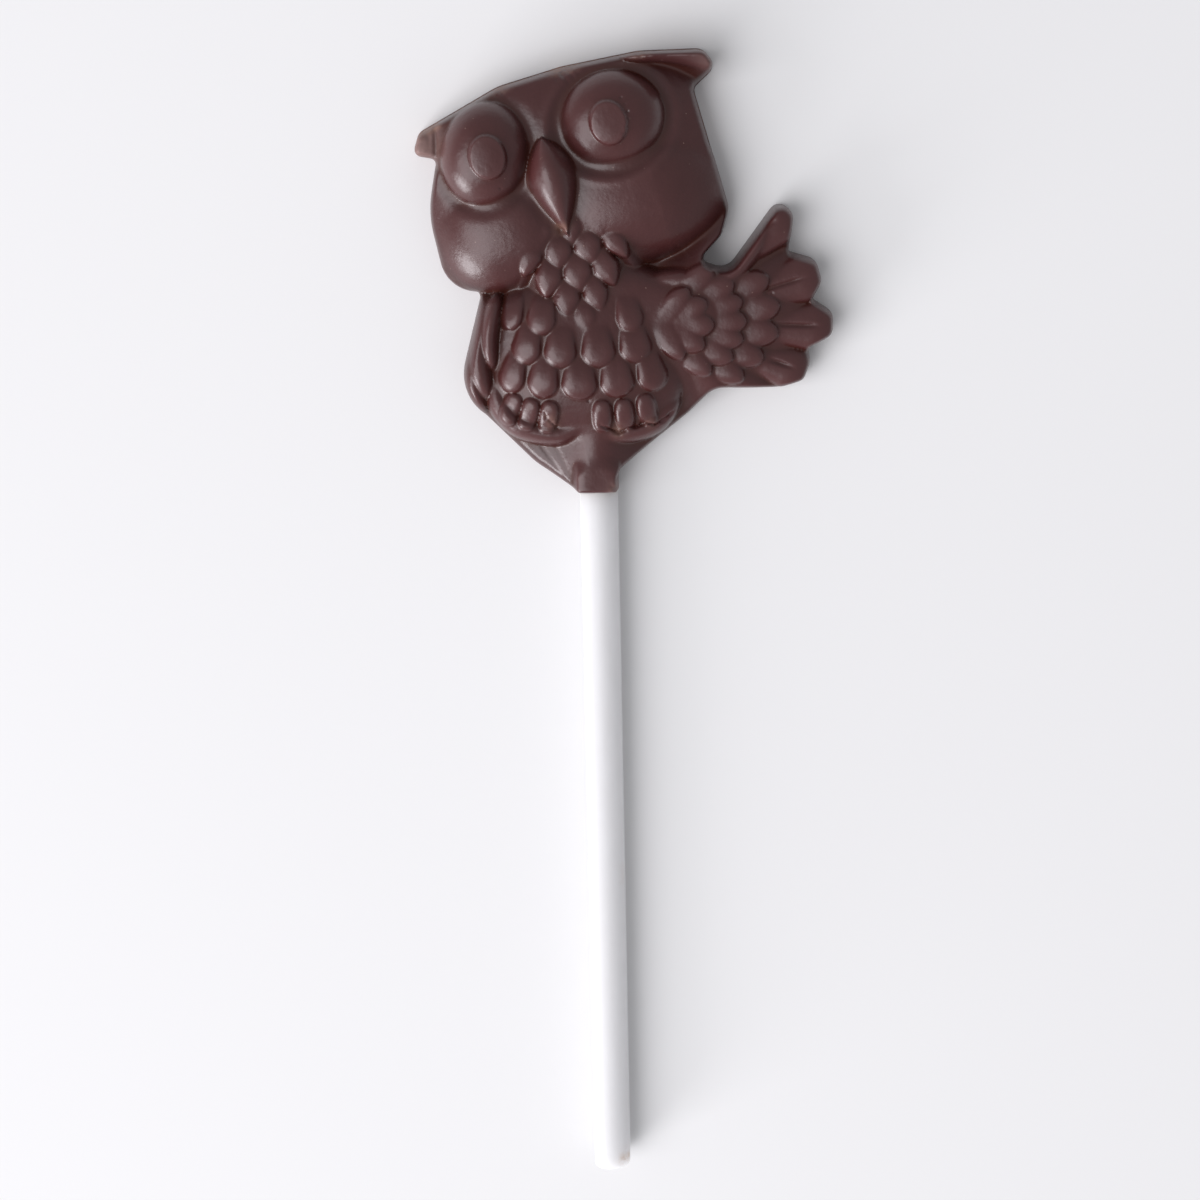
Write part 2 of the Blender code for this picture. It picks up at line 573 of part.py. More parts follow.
def casting_points():
    """Plan of the casting: outline, rings just inside it and an even grid."""
    edge = outline(OUTLINE_STEP)
    along = np.roll(edge, -1, 0) - np.roll(edge, 1, 0)
    along /= np.linalg.norm(along, axis=1)[:, None]
    inward = np.stack([along[:, 1], -along[:, 0]], 1)
    groups = [edge]
    for offset in RING_OFFSETS:
        ring = edge + offset * inward
        groups.append(ring[inside_distance(*ring.T, edge) > CLEAR_OF_CORNERS * offset])
    low, high = edge.min(0), edge.max(0)
    row_step = GRID_STEP * math.sqrt(3) / 2
    rows = np.arange(low[1], high[1], row_step)
    columns = np.arange(low[0], high[0], GRID_STEP)
    grid_x, grid_y = np.meshgrid(columns, rows)
    grid_x = grid_x + (np.arange(len(rows)) % 2)[:, None] * GRID_STEP / 2
    grid = np.stack([grid_x.ravel(), grid_y.ravel()], 1)
    clear = RING_OFFSETS[-1] + CLEAR_OF_RINGS * GRID_STEP
    groups.append(grid[inside_distance(*grid.T, edge) > clear])
    return edge, np.concatenate(groups)


def make_casting(collection, material):
    """Closed mesh of the chocolate: relief above, flat below."""
    edge, plan = casting_points()
    count = len(edge)
    loop = list(range(count))
    plan_out, _, faces, _, _, _ = delaunay_2d_cdt(plan.tolist(), [], [loop], 1, WELD)
    plan = np.array([tuple(point) for point in plan_out])
    depth = np.clip(inside_distance(*plan.T, edge), 0, None)
    depth[:count] = 0
    height = face_height(plan[:, 0], plan[:, 1], depth)
    height[:count] = 0
    bm = bmesh.new()
    for (x, y), z in zip(plan, height):
        bm.verts.new((x * MM, y * MM, z * MM))
    bm.verts.ensure_lookup_table()
    for face in faces:
        bm.faces.new([bm.verts[i] for i in face])
    bm.faces.new([bm.verts[i] for i in reversed(loop)])
    bmesh.ops.recalc_face_normals(bm, faces=bm.faces)
    return add_object(bm, "chocolate_owl", collection, material)


def rod(name, radius, start, stop, collection, material):
    """Round rod along the line of the stick, from one Y to another."""
    bm = bmesh.new()
    bmesh.ops.create_cone(bm, cap_ends=True, cap_tris=False, segments=STICK_SIDES,
                          radius1=radius * MM, radius2=radius * MM, depth=(stop - start) * MM)
    obj = add_object(bm, name, collection, material)
    obj.data.transform(Matrix.Rotation(math.radians(90), 4, "X"))
    obj.data.transform(Matrix.Translation((0, (start + stop) / 2 * MM, STICK_AXIS_HEIGHT * MM)))
    return obj


def add_object(bm, name, collection, material):
    """Mesh object in a collection, with its material and round shading."""
    mesh = bpy.data.meshes.new(name)
    bm.to_mesh(mesh)
    bm.free()
    obj = bpy.data.objects.new(name, mesh)
    collection.objects.link(obj)
    if material is not None:
        mesh.materials.append(material)
    mesh.polygons.foreach_set("use_smooth", [True] * len(mesh.polygons))
    mesh.set_sharp_from_angle(angle=SMOOTH_BELOW)
    return obj


def material(name, colour, roughness):
    """Plain Principled surface."""
    surface = bpy.data.materials.new(name)
    surface.use_nodes = True
    shader = surface.node_tree.nodes["Principled BSDF"]
    shader.inputs["Base Color"].default_value = (*colour, 1)
    shader.inputs["Roughness"].default_value = roughness
    shader.inputs["Metallic"].default_value = 0.0
    return surface


def collection(name):
    """New collection under the scene."""
    group = bpy.data.collections.new(name)
    bpy.context.scene.collection.children.link(group)
    return group


def build():
    """Clear the scene and build the casting and its stick."""
    for obj in list(bpy.data.objects):
        bpy.data.objects.remove(obj, do_unlink=True)
    parts = collection("chocolate_lollipop")
    cutters = collection("cutters")
    chocolate = material("milk_chocolate", (0.078, 0.026, 0.025), 0.33)
    paper = material("white_paper", (0.84, 0.84, 0.85), 0.7)

    casting = make_casting(parts, chocolate)
    hole = rod("stick_hole", STICK_RADIUS + FIT_GAP, MOUTH_Y - HOLE_OVERRUN, STICK_ROOT_Y + FIT_GAP,
               cutters, None)
    hole.hide_render = True
    hole.display_type = "WIRE"
    cut = casting.modifiers.new("stick_hole", "BOOLEAN")
    cut.operation = "DIFFERENCE"
    cut.solver = "EXACT"
    cut.object = hole

    stick = rod("paper_stick", STICK_RADIUS, STICK_ROOT_Y - STICK_LENGTH, STICK_ROOT_Y, parts, paper)
    rim = stick.modifiers.new("cut_edge", "BEVEL")
    rim.width = STICK_EDGE * MM
    rim.segments = 2
    rim.limit_method = "ANGLE"
    rim.angle_limit = SMOOTH_BELOW


build()
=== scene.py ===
# %% [markdown]
# # A moulded chocolate owl on a paper stick
#
# The real thing is one casting of milk chocolate, poured into a shallow open mould over the end
# of a white paper stick. Its back is flat and its face is relief, so the face can be written as one
# height over a flat outline. That is how it is made here: with numpy, as whole arrays, and not by
# pushing vertices about. It lies on its back.

# %% Frame
import math

import bpy
import numpy as np
from mathutils import Matrix, Vector
from mathutils.geometry import delaunay_2d_cdt


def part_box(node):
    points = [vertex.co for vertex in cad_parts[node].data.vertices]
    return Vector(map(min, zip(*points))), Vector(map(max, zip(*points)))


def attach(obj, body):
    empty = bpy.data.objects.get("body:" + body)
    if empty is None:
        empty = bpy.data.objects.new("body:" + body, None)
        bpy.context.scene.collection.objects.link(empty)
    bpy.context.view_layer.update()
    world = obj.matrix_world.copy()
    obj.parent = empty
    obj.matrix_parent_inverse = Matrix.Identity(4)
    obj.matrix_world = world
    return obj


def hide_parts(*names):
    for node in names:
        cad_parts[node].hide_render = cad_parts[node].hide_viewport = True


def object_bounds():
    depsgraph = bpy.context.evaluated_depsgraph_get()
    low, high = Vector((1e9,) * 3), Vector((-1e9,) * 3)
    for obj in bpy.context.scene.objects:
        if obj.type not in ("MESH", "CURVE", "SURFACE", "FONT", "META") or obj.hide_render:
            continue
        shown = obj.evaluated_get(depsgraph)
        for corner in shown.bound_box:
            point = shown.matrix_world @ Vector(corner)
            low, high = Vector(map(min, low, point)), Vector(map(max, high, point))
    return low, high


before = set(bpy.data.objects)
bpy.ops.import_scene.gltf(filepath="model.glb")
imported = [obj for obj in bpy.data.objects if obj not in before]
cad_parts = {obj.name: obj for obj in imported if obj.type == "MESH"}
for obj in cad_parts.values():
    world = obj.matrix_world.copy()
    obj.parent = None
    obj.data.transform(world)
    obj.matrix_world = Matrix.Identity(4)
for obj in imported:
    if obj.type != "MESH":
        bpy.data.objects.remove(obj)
cad_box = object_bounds()
MM = 0.001
size_mm = [round((high - low) / MM, 1) for low, high in zip(*cad_box)]
print("CAD box in mm:", size_mm, "nodes:", sorted(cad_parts))

# %% [markdown]
# Sizes come first. The stick has the standard size of its kind, and everything else is set against
# it. All sculpting is in millimetres, in the same frame as the CAD: X to the raised wing, Y along
# the stick toward the head, Z out of the flat back.

# %% Sizes
STICK_RADIUS = 2.25
STICK_AXIS_HEIGHT = 3.0
stick_low, stick_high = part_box("paper_stick")
STICK_END = stick_low.y / MM
STICK_ROOT = stick_high.y / MM
SOCKET_GAP = 0.04
FINE_FILLET = 0.1
SOFT_FILLET = 0.3
BROAD_FILLET = 0.5
DOME_FALL = 1.5
DOWN = math.radians(-90)
BURIED = 9.0
NEVER_ZERO = 0.02
print(f"stick: {STICK_ROOT - STICK_END:.1f} mm long, {2 * STICK_RADIUS} mm thick")

# %% [markdown]
# The head is cocked and the wing is fanned, so two turned frames are handy. These helpers move
# points in and out of them, and blend one height into the next with a small fillet, as melted
# chocolate rounds every inner corner of its mould.

# %% Turned frames and blends
HEAD_AT = (-1.6, 12.8)
HEAD_TURN = math.radians(14)


def placed(p, q, at, angle):
    """Point (p, q) of a frame set at a centre and turned by an angle."""
    cos, sin = math.cos(angle), math.sin(angle)
    return at[0] + p * cos - q * sin, at[1] + p * sin + q * cos


def turned(x, y, at, angle):
    """Coordinates of (x, y) in a frame set at a centre and turned by an angle."""
    dx, dy = x - at[0], y - at[1]
    cos, sin = math.cos(angle), math.sin(angle)
    return dx * cos + dy * sin, dy * cos - dx * sin


def on_head(p, q):
    """Point given in the tilted frame of the head."""
    return placed(p, q, HEAD_AT, HEAD_TURN)


def ease(t):
    """Smooth step from 0 to 1."""
    t = np.clip(t, 0, 1)
    return t * t * (3 - 2 * t)


def ramp(value, start, run):
    """0 at start, rising smoothly to 1 a run further on; a negative run rises toward lower values."""
    return ease((value - start) / run)


def merge(a, b, fillet=SOFT_FILLET):
    """The larger of two heights, with a fillet where they meet."""
    return 0.5 * (a + b + np.sqrt((a - b) ** 2 + fillet * fillet))


def bell(distance, width):
    """1 on a line, fading to 0 about a width away."""
    return np.exp(-(distance / width) ** 2)


print(f"head centred at {HEAD_AT} mm, tilted {math.degrees(HEAD_TURN):.0f} degrees")

# %% [markdown]
# The outline is a polygon whose corners are turned by arcs. It could be a Bezier curve, but named
# corners with a radius each are easier to set and to read. The line is then spread evenly and
# blurred a little, because a mould has no perfectly sharp corner.

# %% Rounded outline
OUTLINE_BLUR = 0.16
LOOP_STEP = 0.1
OUTLINE_STEP = 0.2


def rounded_loop(corners):
    """Closed line through corners given as (x, y, radius), each turned by an arc."""
    table = np.array(corners, float)
    points, radius = table[:, :2], table[:, 2]
    before = np.roll(points, 1, 0) - points
    after = np.roll(points, -1, 0) - points
    before /= np.linalg.norm(before, axis=1)[:, None]
    after /= np.linalg.norm(after, axis=1)[:, None]
    half = 0.5 * np.arccos(np.clip((before * after).sum(1), -1, 1))
    arcs = []
    for point, u, v, r, h in zip(points, before, after, radius, half):
        middle = (u + v) / np.linalg.norm(u + v) * r / math.sin(h)
        start = u * r / math.tan(h) - middle
        stop = v * r / math.tan(h) - middle
        turn = math.atan2(start[0] * stop[1] - start[1] * stop[0], start @ stop)
        count = int(abs(turn) * r / LOOP_STEP) + 3
        angle = math.atan2(start[1], start[0]) + turn * np.linspace(0, 1, count)
        arcs.append(point + middle + np.stack([np.cos(angle), np.sin(angle)], 1) * r)
    return np.concatenate(arcs)


def left_by_blur(count, width):
    """Share of each frequency that a Gaussian blur leaves: exp(-2 (pi * width * frequency)^2)."""
    return np.exp(-2 * (math.pi * width * np.fft.fftfreq(count)) ** 2)


def evenly(loop, spacing):
    """The loop at an even spacing, its corners softened over OUTLINE_BLUR."""
    closed = np.vstack([loop, loop[:1]])
    passed = np.r_[0, np.cumsum(np.linalg.norm(np.diff(closed, axis=0), axis=1))]
    fine = int(round(passed[-1] / LOOP_STEP))
    at = np.linspace(0, passed[-1], fine, endpoint=False)
    even = np.stack([np.interp(at, passed, closed[:, k]) for k in (0, 1)], 1)
    left = left_by_blur(fine, OUTLINE_BLUR / LOOP_STEP)[:, None]
    even = np.real(np.fft.ifft(np.fft.fft(even, axis=0) * left, axis=0))
    even = np.vstack([even, even[:1]])
    count = int(round(passed[-1] / spacing))
    pick = np.linspace(0, fine, count, endpoint=False)
    return np.stack([np.interp(pick, np.arange(fine + 1), even[:, k]) for k in (0, 1)], 1)


print("corners softened over", OUTLINE_BLUR, "mm")

# %% Outline of the casting
FAN_AT = (7.5, -4.5)
PRIMARIES = ((40.5, 19.4), (16.0, 19.2), (-2.5, 20.1), (-20.0, 18.2))
NOTCHES = ((26.5, 17.0), (6.5, 18.1), (-11.5, 17.9))
TIP_SPREAD = 3.6
TIP_PAST = 1.02
TIP_RADIUS = 1.3
NOTCH_RADIUS = 0.25
MOUTH_Y = -24.7
BOSS_HALF = 2.42
BOSS_FOOT = 0.25
LEFT_CORNERS = ((-BOSS_HALF, MOUTH_Y, 0.3), (-7.5, -21.3, 9.0), (-16.4, -12.3, 6.0))
HEAD_CORNERS = (
    (-13.3, -0.9, 0.5), (-17.3, -0.7, 4.3), (-19.2, 8.3, 12.0), (-18.0, 14.4, 0.5), (-20.9, 14.9, 1.0),
    (-20.1, 17.5, 1.4), (-10.8, 22.55, 8.0), (-3.4, 24.65, 8.0), (5.5, 26.25, 8.0), (13.0, 26.4, 1.7),
    (14.6, 24.3, 1.3), (11.9, 21.9, 0.8), (15.9, 8.2, 2.5), (14.9, 5.1, 1.5), (12.1, 2.3, 0.8),
    (15.6, 1.1, 2.0))
RIGHT_CORNERS = (
    (21.5, -12.8, 3.0), (13.8, -12.6, 2.5), (10.9, -15.6, 5.0), (BOSS_HALF + BOSS_FOOT, -22.0, 0.4),
    (BOSS_HALF, -22.6, 0.2), (BOSS_HALF, MOUTH_Y, 0.3))


def on_fan(degrees, reach):
    """Point at a direction and reach from the root of the raised wing."""
    return placed(reach, 0.0, FAN_AT, math.radians(degrees))


def outline(spacing):
    """Edge of the casting, clockwise from the mouth of the stick hole."""
    fan = []
    for k, (degrees, reach) in enumerate(PRIMARIES):
        for spread in (TIP_SPREAD, -TIP_SPREAD):
            fan.append((*on_fan(degrees + spread, reach * TIP_PAST), TIP_RADIUS))
        if k < len(NOTCHES):
            fan.append((*on_fan(*NOTCHES[k]), NOTCH_RADIUS))
    return evenly(rounded_loop([*LEFT_CORNERS, *HEAD_CORNERS, *fan, *RIGHT_CORNERS]), spacing)


cad_low, cad_high = np.array(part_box("chocolate_owl"))[:, :2] / MM
edge = np.clip(outline(OUTLINE_STEP), cad_low, cad_high)
print(f"outline: {len(edge)} points, {np.ptp(edge[:, 0]):.1f} by {np.ptp(edge[:, 1]):.1f} mm")

# %% [markdown]
# Depth inside the outline drives the rounded rim. It is the distance to the nearest side of the
# outline, with an even-odd test for the sign. The points go through in blocks to save memory.

# %% Depth inside the outline
def inside_distance(x, y, loop, block=4000):
    """Distance to a closed line, positive inside it."""
    a, d = loop, np.roll(loop, -1, 0) - loop
    out = np.empty(len(x))
    for i in range(0, len(x), block):
        px, py = x[i:i + block, None], y[i:i + block, None]
        ex, ey = px - a[:, 0], py - a[:, 1]
        t = np.clip((ex * d[:, 0] + ey * d[:, 1]) / (d ** 2).sum(1), 0, 1)
        near = np.sqrt(((ex - t * d[:, 0]) ** 2 + (ey - t * d[:, 1]) ** 2).min(1))
        spans = (a[:, 1] > py) != (a[:, 1] + d[:, 1] > py)
        rise = np.where(d[:, 1] == 0, 1.0, d[:, 1])
        odd = (spans & (ex < ey * d[:, 0] / rise)).sum(1) % 2 == 1
        out[i:i + block] = np.where(odd, near, -near)
    return out


deepest = inside_distance(np.array([0.0]), np.array([0.0]), edge)[0]
print(f"the origin lies {deepest:.1f} mm inside the outline")

# %% [markdown]
# Every form on the face is one of three: a dome over an oval, a welt that runs along a bent line,
# or a feather, which is half a dome whose root sinks into what is behind it.

# %% Domes, welts and feathers
ROOT_TAPER = 0.45


def oval(x, y, at, angle, half_a, half_b, power=2.0):
    """Distance from a centre in units of an oval: 1 on its rim."""
    u, v = turned(x, y, at, angle)
    return (np.abs(u / half_a) ** power + np.abs(v / half_b) ** power) ** (1 / power)


def dome(r, rise, sink=0.0, full=2.0):
    """Height of a dome that starts sink below its surface; falls away past r = 1."""
    inside = np.sqrt(np.clip(1 - np.clip(r, 0, 1) ** full, 0, 1))
    return (rise + sink) * np.where(r < 1, inside, -DOME_FALL * (r - 1)) - sink


def bend(points, steps=9):
    """Smooth run of points through a few control points."""
    c = np.array(points, float)
    c = np.vstack([2 * c[0] - c[1], c, 2 * c[-1] - c[-2]])
    t = np.linspace(0, 1, steps, endpoint=False)[:, None]
    parts = []
    for p0, p1, p2, p3 in zip(c[:-3], c[1:-2], c[2:-1], c[3:]):
        cubic = (3 * p1 - p0 - 3 * p2 + p3) * t ** 3
        square = (2 * p0 - 5 * p1 + 4 * p2 - p3) * t ** 2
        parts.append(0.5 * (2 * p1 + (p2 - p0) * t + square + cubic))
    return np.vstack(parts + [c[-2:-1]])


def from_run(x, y, run):
    """Distance from a run of points, place along it from 0 to 1, and signed side."""
    run = np.array(run, float)
    near, along, side = np.full(np.shape(x), np.inf), np.zeros(np.shape(x)), np.zeros(np.shape(x))
    lengths = np.linalg.norm(np.diff(run, axis=0), axis=1)
    passed = 0.0
    for a, b, length in zip(run[:-1], run[1:], lengths):
        d = b - a
        t = np.clip(((x - a[0]) * d[0] + (y - a[1]) * d[1]) / length ** 2, 0, 1)
        ex, ey = x - a[0] - t * d[0], y - a[1] - t * d[1]
        r = np.hypot(ex, ey)
        closer = r < near
        near = np.where(closer, r, near)
        along = np.where(closer, (passed + t * length) / lengths.sum(), along)
        side = np.where(closer, np.sign(d[0] * ey - d[1] * ex) * r, side)
        passed += length
    return near, along, side


def welt(x, y, run, half, rise, sink=0.6, taper=0.5, blunt=2.6):
    """Long rounded ridge along a run of points, narrow and low at both ends; also its signed side."""
    near, along, side = from_run(x, y, run)
    part = np.clip(1 - np.abs(2 * along - 1) ** blunt, 0, 1) ** taper
    ridge = dome(near / (half * part + NEVER_ZERO), rise + sink)
    return np.where(ridge > 0, part * ridge, ridge) - sink, side


def feather(x, y, at, way, half, tip, length, rise, sink=0.35, power=2.0, full=2.0):
    """Bump of a feather whose round end points along way and whose root fades out."""
    u, v = turned(x, y, at, way)
    ahead = np.clip(u, 0, None) / tip
    width = half * (1 - ROOT_TAPER * np.clip(-u / length, 0, 1))
    r = (ahead ** power + np.abs(v / width) ** power) ** (1 / power)
    return (rise + sink) * dome(r, 1.0, full=full) * ramp(u, -length, length) - sink


half_way = float(dome(np.array(0.5), 1.0))
print(f"a dome keeps {half_way:.0%} of its height half way out")

# %% [markdown]
# The lower half: a thin plate tapers to the stick and swells into a boss around it. Above it the
# round belly ends in a wavy ledge, with three toes a side over it, rows of breast feathers, and
# the folded wing down the left.

# %% Web and boss
WEB_LEVEL = 3.2
WEB_SLOPE = 0.12
WEB_SLOPE_WIDTH = 8.0
WEB_CREASES = (((-6.9, -18.6), (-5.3, -21.0), (-3.6, -23.6)), ((-4.9, -19.2), (-4.0, -21.0), (-3.3, -23.0)))
CREASE_DEPTH = 0.1
CREASE_HALF = 0.3
SPINE_RISE = 2.5
SPINE_HALF = 4.2
SPINE_Y = (-6.0, -6.0)
BOSS_LEVEL = 6.3
BOSS_LEFT_FOOT = 0.7
BOSS_CROWN = 0.25
BOSS_SLOPE = 0.05
BOSS_MIDDLE_Y = -21.5
BOSS_TOP_Y = -19.6
BOSS_ARCH = 0.12
BOSS_STEP = 2.2


def web_and_boss(x, y, d):
    """Plate between the feet and the stick, with the boss that holds the stick."""
    spine = SPINE_RISE * bell(x, SPINE_HALF) * ramp(y, *SPINE_Y)
    s = WEB_LEVEL + WEB_SLOPE * np.clip(d, 0, WEB_SLOPE_WIDTH) + spine
    for ends in WEB_CREASES:
        near, _, _ = from_run(x, y, ends)
        s = s - CREASE_DEPTH * bell(near, CREASE_HALF)
    boss = BOSS_LEVEL - BOSS_CROWN * (x / BOSS_HALF) ** 4 - BOSS_SLOPE * (y - BOSS_MIDDLE_Y)
    foot = np.where(x < 0, BOSS_LEFT_FOOT, BOSS_FOOT)
    across = ramp(np.abs(x), BOSS_HALF + foot, -foot)
    on_boss = across * ramp(y, BOSS_TOP_Y - BOSS_ARCH * x ** 2, -BOSS_STEP)
    return s * (1 - on_boss) + np.maximum(boss, s) * on_boss


print("boss:", 2 * BOSS_HALF, "mm wide,", len(WEB_CREASES), "creases beside it")

# %% Belly
BELLY_LEVEL = 7.9
BELLY_BULK = 4.3
BELLY_AT = (-1.0, -8.0)
BELLY_HALF = (12.0, 10.2)
BELLY_POWER = 2.5
BELLY_MIDDLE = -1.5
BELLY_SAG = 0.012
BELLY_SPREAD = 0.03
BELLY_FEATHER = {"tip": 2.0, "length": 5.0, "rise": 0.75, "full": 3.4}
BELLY_ROWS = (
    (-11.2, ((-9.8, 1.6), (-6.2, 1.9), (-2.0, 2.2), (2.4, 2.1), (6.5, 1.9))),
    (-7.5, ((-8.0, 1.8), (-4.1, 2.0), (0.3, 2.1), (4.6, 2.0))),
    (-3.9, ((-9.7, 1.5), (-6.2, 1.8), (4.0, 1.7))),
)


def belly_feathers(x, y, s):
    """Rows of feathers that sag a little to the sides, each laid over the one below."""
    base = s
    for y0, row in BELLY_ROWS:
        for x0, half in row:
            out = x0 - BELLY_MIDDLE
            at = (x0, y0 + BELLY_SAG * out ** 2)
            bump = feather(x, y, at, DOWN + BELLY_SPREAD * out, half, **BELLY_FEATHER)
            s = merge(s, base + bump, FINE_FILLET)
    return s


print("belly feathers:", sum(len(row) for _, row in BELLY_ROWS))

# %% Feet and folded wing
TOES = ((-10.1, -14.2), (-8.0, -14.8), (-5.7, -15.1), (0.6, -15.1), (3.2, -15.0), (5.8, -14.5))
TOE_HALF = (1.25, 2.1)
TOE_SPREAD = 2.0
TOE_POWER = 2.6
TOE_RISE = 0.75
TOE_SINK = 0.35
TOE_FULL = 3.2
LEDGE_LEVEL = 4.1
LEDGE_WELT = {"half": 1.7, "rise": 2.2, "sink": 1.0, "taper": 0.4, "blunt": 4.0}
LEDGE = (
    (-11.9, -9.5), (-11.6, -13.4), (-9.4, -16.2), (-5.0, -17.3), (-1.7, -16.4), (2.4, -17.3), (6.6, -16.3),
    (9.8, -13.0))
FOLDED_LEVEL = 3.7
FOLDED_TILT = 0.2
FOLDED_TILT_HALF = 1.5
FOLDED_WING = (
    (2.5, 2.6, ((-12.0, -0.6), (-14.2, -6.0), (-14.9, -10.5), (-13.6, -15.5))),
    (1.9, 3.2, ((-11.6, -0.8), (-13.2, -5.5), (-13.5, -9.5), (-12.4, -13.6))),
    (1.5, 3.8, ((-11.0, -0.4), (-11.9, -3.6), (-12.3, -6.6), (-11.9, -10.4))),
)


def lower_half(x, y, d):
    """Web, belly with its feathers, feet on a ledge, and the folded wing."""
    rim = oval(x, y, BELLY_AT, 0, *BELLY_HALF, BELLY_POWER)
    belly = BELLY_LEVEL - BELLY_BULK + dome(rim, BELLY_BULK, full=BELLY_POWER)
    s = merge(web_and_boss(x, y, d), belly, BROAD_FILLET)
    rise, _ = welt(x, y, bend(LEDGE), **LEDGE_WELT)
    s = merge(s, LEDGE_LEVEL + rise)
    base = s
    for x0, y0 in TOES:
        toe = oval(x, y, (x0, y0), math.radians(TOE_SPREAD * x0), *TOE_HALF, TOE_POWER)
        s = merge(s, base + dome(toe, TOE_RISE, TOE_SINK, TOE_FULL), FINE_FILLET)
    s = belly_feathers(x, y, s)
    for half, rise, points in FOLDED_WING:
        height, side = welt(x, y, bend(points), half, rise)
        tilt = FOLDED_TILT * np.clip(side, -FOLDED_TILT_HALF, FOLDED_TILT_HALF)
        s = merge(s, FOLDED_LEVEL + height - tilt, FINE_FILLET)
    return s


print("toes:", len(TOES), "feathers of the folded wing:", len(FOLDED_WING))

# %% [markdown]
# The raised wing fans out from the shoulder. The long primaries go down first, each with the groove
# of its shaft, and then the rows of coverts from the outside in, so that each row overlaps the last.

# %% Primaries
BLADE_LEVEL = 3.4
BLADE_RISE = 1.9
BLADE_STEP = 0.15
BLADE_TILT = 0.4
BLADE_HALF = 3.0
BLADE_HALF_REACH = 17.0
BLADE_HALF_LIMITS = (0.3, 1.3)
BLADE_TIP = 2.6
BLADE_TIP_ROUND = 3.2
BLADE_FULL = 2.6
SHAFT_DEPTH = 0.3
SHAFT_HALF = 0.24
SHAFT_FROM = 8.0
SHAFT_SHORT = 1.0
SHAFT_FADE = 2.5


def with_primaries(x, y, s):
    """Long outer feathers of the raised wing, each with the groove of its shaft."""
    for k, (degrees, reach) in enumerate(PRIMARIES[::-1]):
        u, v = turned(x, y, FAN_AT, math.radians(degrees))
        half = BLADE_HALF * np.clip(u / BLADE_HALF_REACH, *BLADE_HALF_LIMITS)
        r = np.hypot(np.clip(u - reach + BLADE_TIP, 0, None) / BLADE_TIP_ROUND, v / half)
        along_shaft = ramp(u, SHAFT_FROM, SHAFT_FADE) * ramp(u, reach - SHAFT_SHORT, -SHAFT_FADE)
        shaft = SHAFT_DEPTH * bell(v, SHAFT_HALF) * along_shaft
        level = BLADE_LEVEL + BLADE_STEP * k - BLADE_TILT * v / half
        s = np.where(u > 0, merge(s, level + dome(r, BLADE_RISE, full=BLADE_FULL) - shaft, FINE_FILLET), s)
    return s


print("primaries reach", [reach for _, reach in PRIMARIES], "mm")

# %% Arm and coverts
ARM = ((1.5, -1.4), (6.5, -3.2), (11.5, -3.6))
ARM_LEVEL = 7.1
ARM_BULK = 3.9
ARM_HALF = 5.4
ARM_TAPER = 0.8
ARM_FULL = 2.6
LEADING_EDGE = ((5.5, 0.2), (10.5, 0.4), (14.6, 0.2), (17.4, 2.8), (20.2, 6.9))
LEADING_LEVEL = 4.6
LEADING_WELT = {"half": 1.5, "rise": 2.0, "blunt": 5.0}
COVERT_ROWS = (
    (5.1, 3.4, ((-36, 11.9, 1.9), (36, 13.0, 1.9), (-21, 12.9, 2.0), (21, 13.6, 2.0), (-6.5, 13.9, 2.1),
                (7, 14.1, 2.1))),
    (5.8, 3.2, ((-47, 8.4, 1.8), (47, 9.0, 1.8), (-28, 9.5, 1.9), (28, 9.7, 1.9), (0, 10.1, 2.0),
                (-13, 9.9, 1.9), (14, 9.9, 1.9))),
    (6.5, 2.8, ((-58, 4.9, 1.7), (50, 5.2, 1.7), (-30, 5.9, 1.8), (24, 6.0, 1.8), (-3, 6.3, 1.9))),
)
COVERT_POWER = 1.8
COVERT_RISE = 1.0
COVERT_SINK = 0.1
COVERT_FULL = 2.8
COVERT_SLOPE = 0.14
COVERT_ROOT = (-3.4, -1.5)


def raised_wing(x, y):
    """Four primaries fanned out from the shoulder under three rows of coverts."""
    s = with_primaries(x, y, np.zeros(np.shape(x)))
    near, along, _ = from_run(x, y, bend(ARM))
    arm = ARM_LEVEL - ARM_BULK + dome(near / (ARM_HALF - ARM_TAPER * along), ARM_BULK, full=ARM_FULL)
    s = merge(s, arm)
    for level, tip, row in COVERT_ROWS:
        for degrees, reach, half in row:
            u, v = turned(x, y, on_fan(degrees, reach - tip), math.radians(degrees))
            ahead = np.clip(u, 0, None) / tip
            r = (ahead ** COVERT_POWER + np.abs(v / half) ** COVERT_POWER) ** (1 / COVERT_POWER)
            shingle = level + COVERT_SLOPE * u + dome(r, COVERT_RISE, COVERT_SINK, COVERT_FULL)
            s = merge(s, shingle - BURIED * ramp(u, *COVERT_ROOT), FINE_FILLET)
    rise, _ = welt(x, y, bend(LEADING_EDGE), **LEADING_WELT)
    return merge(s, LEADING_LEVEL + rise)


print("coverts:", sum(len(row) for _, _, row in COVERT_ROWS))

# %% [markdown]
# The head is laid over the body in its own tilted frame: a broad mass, two tufts, two cheeks, a
# ruff of pointed feathers, two domed eyes with raised pupils, and the beak.

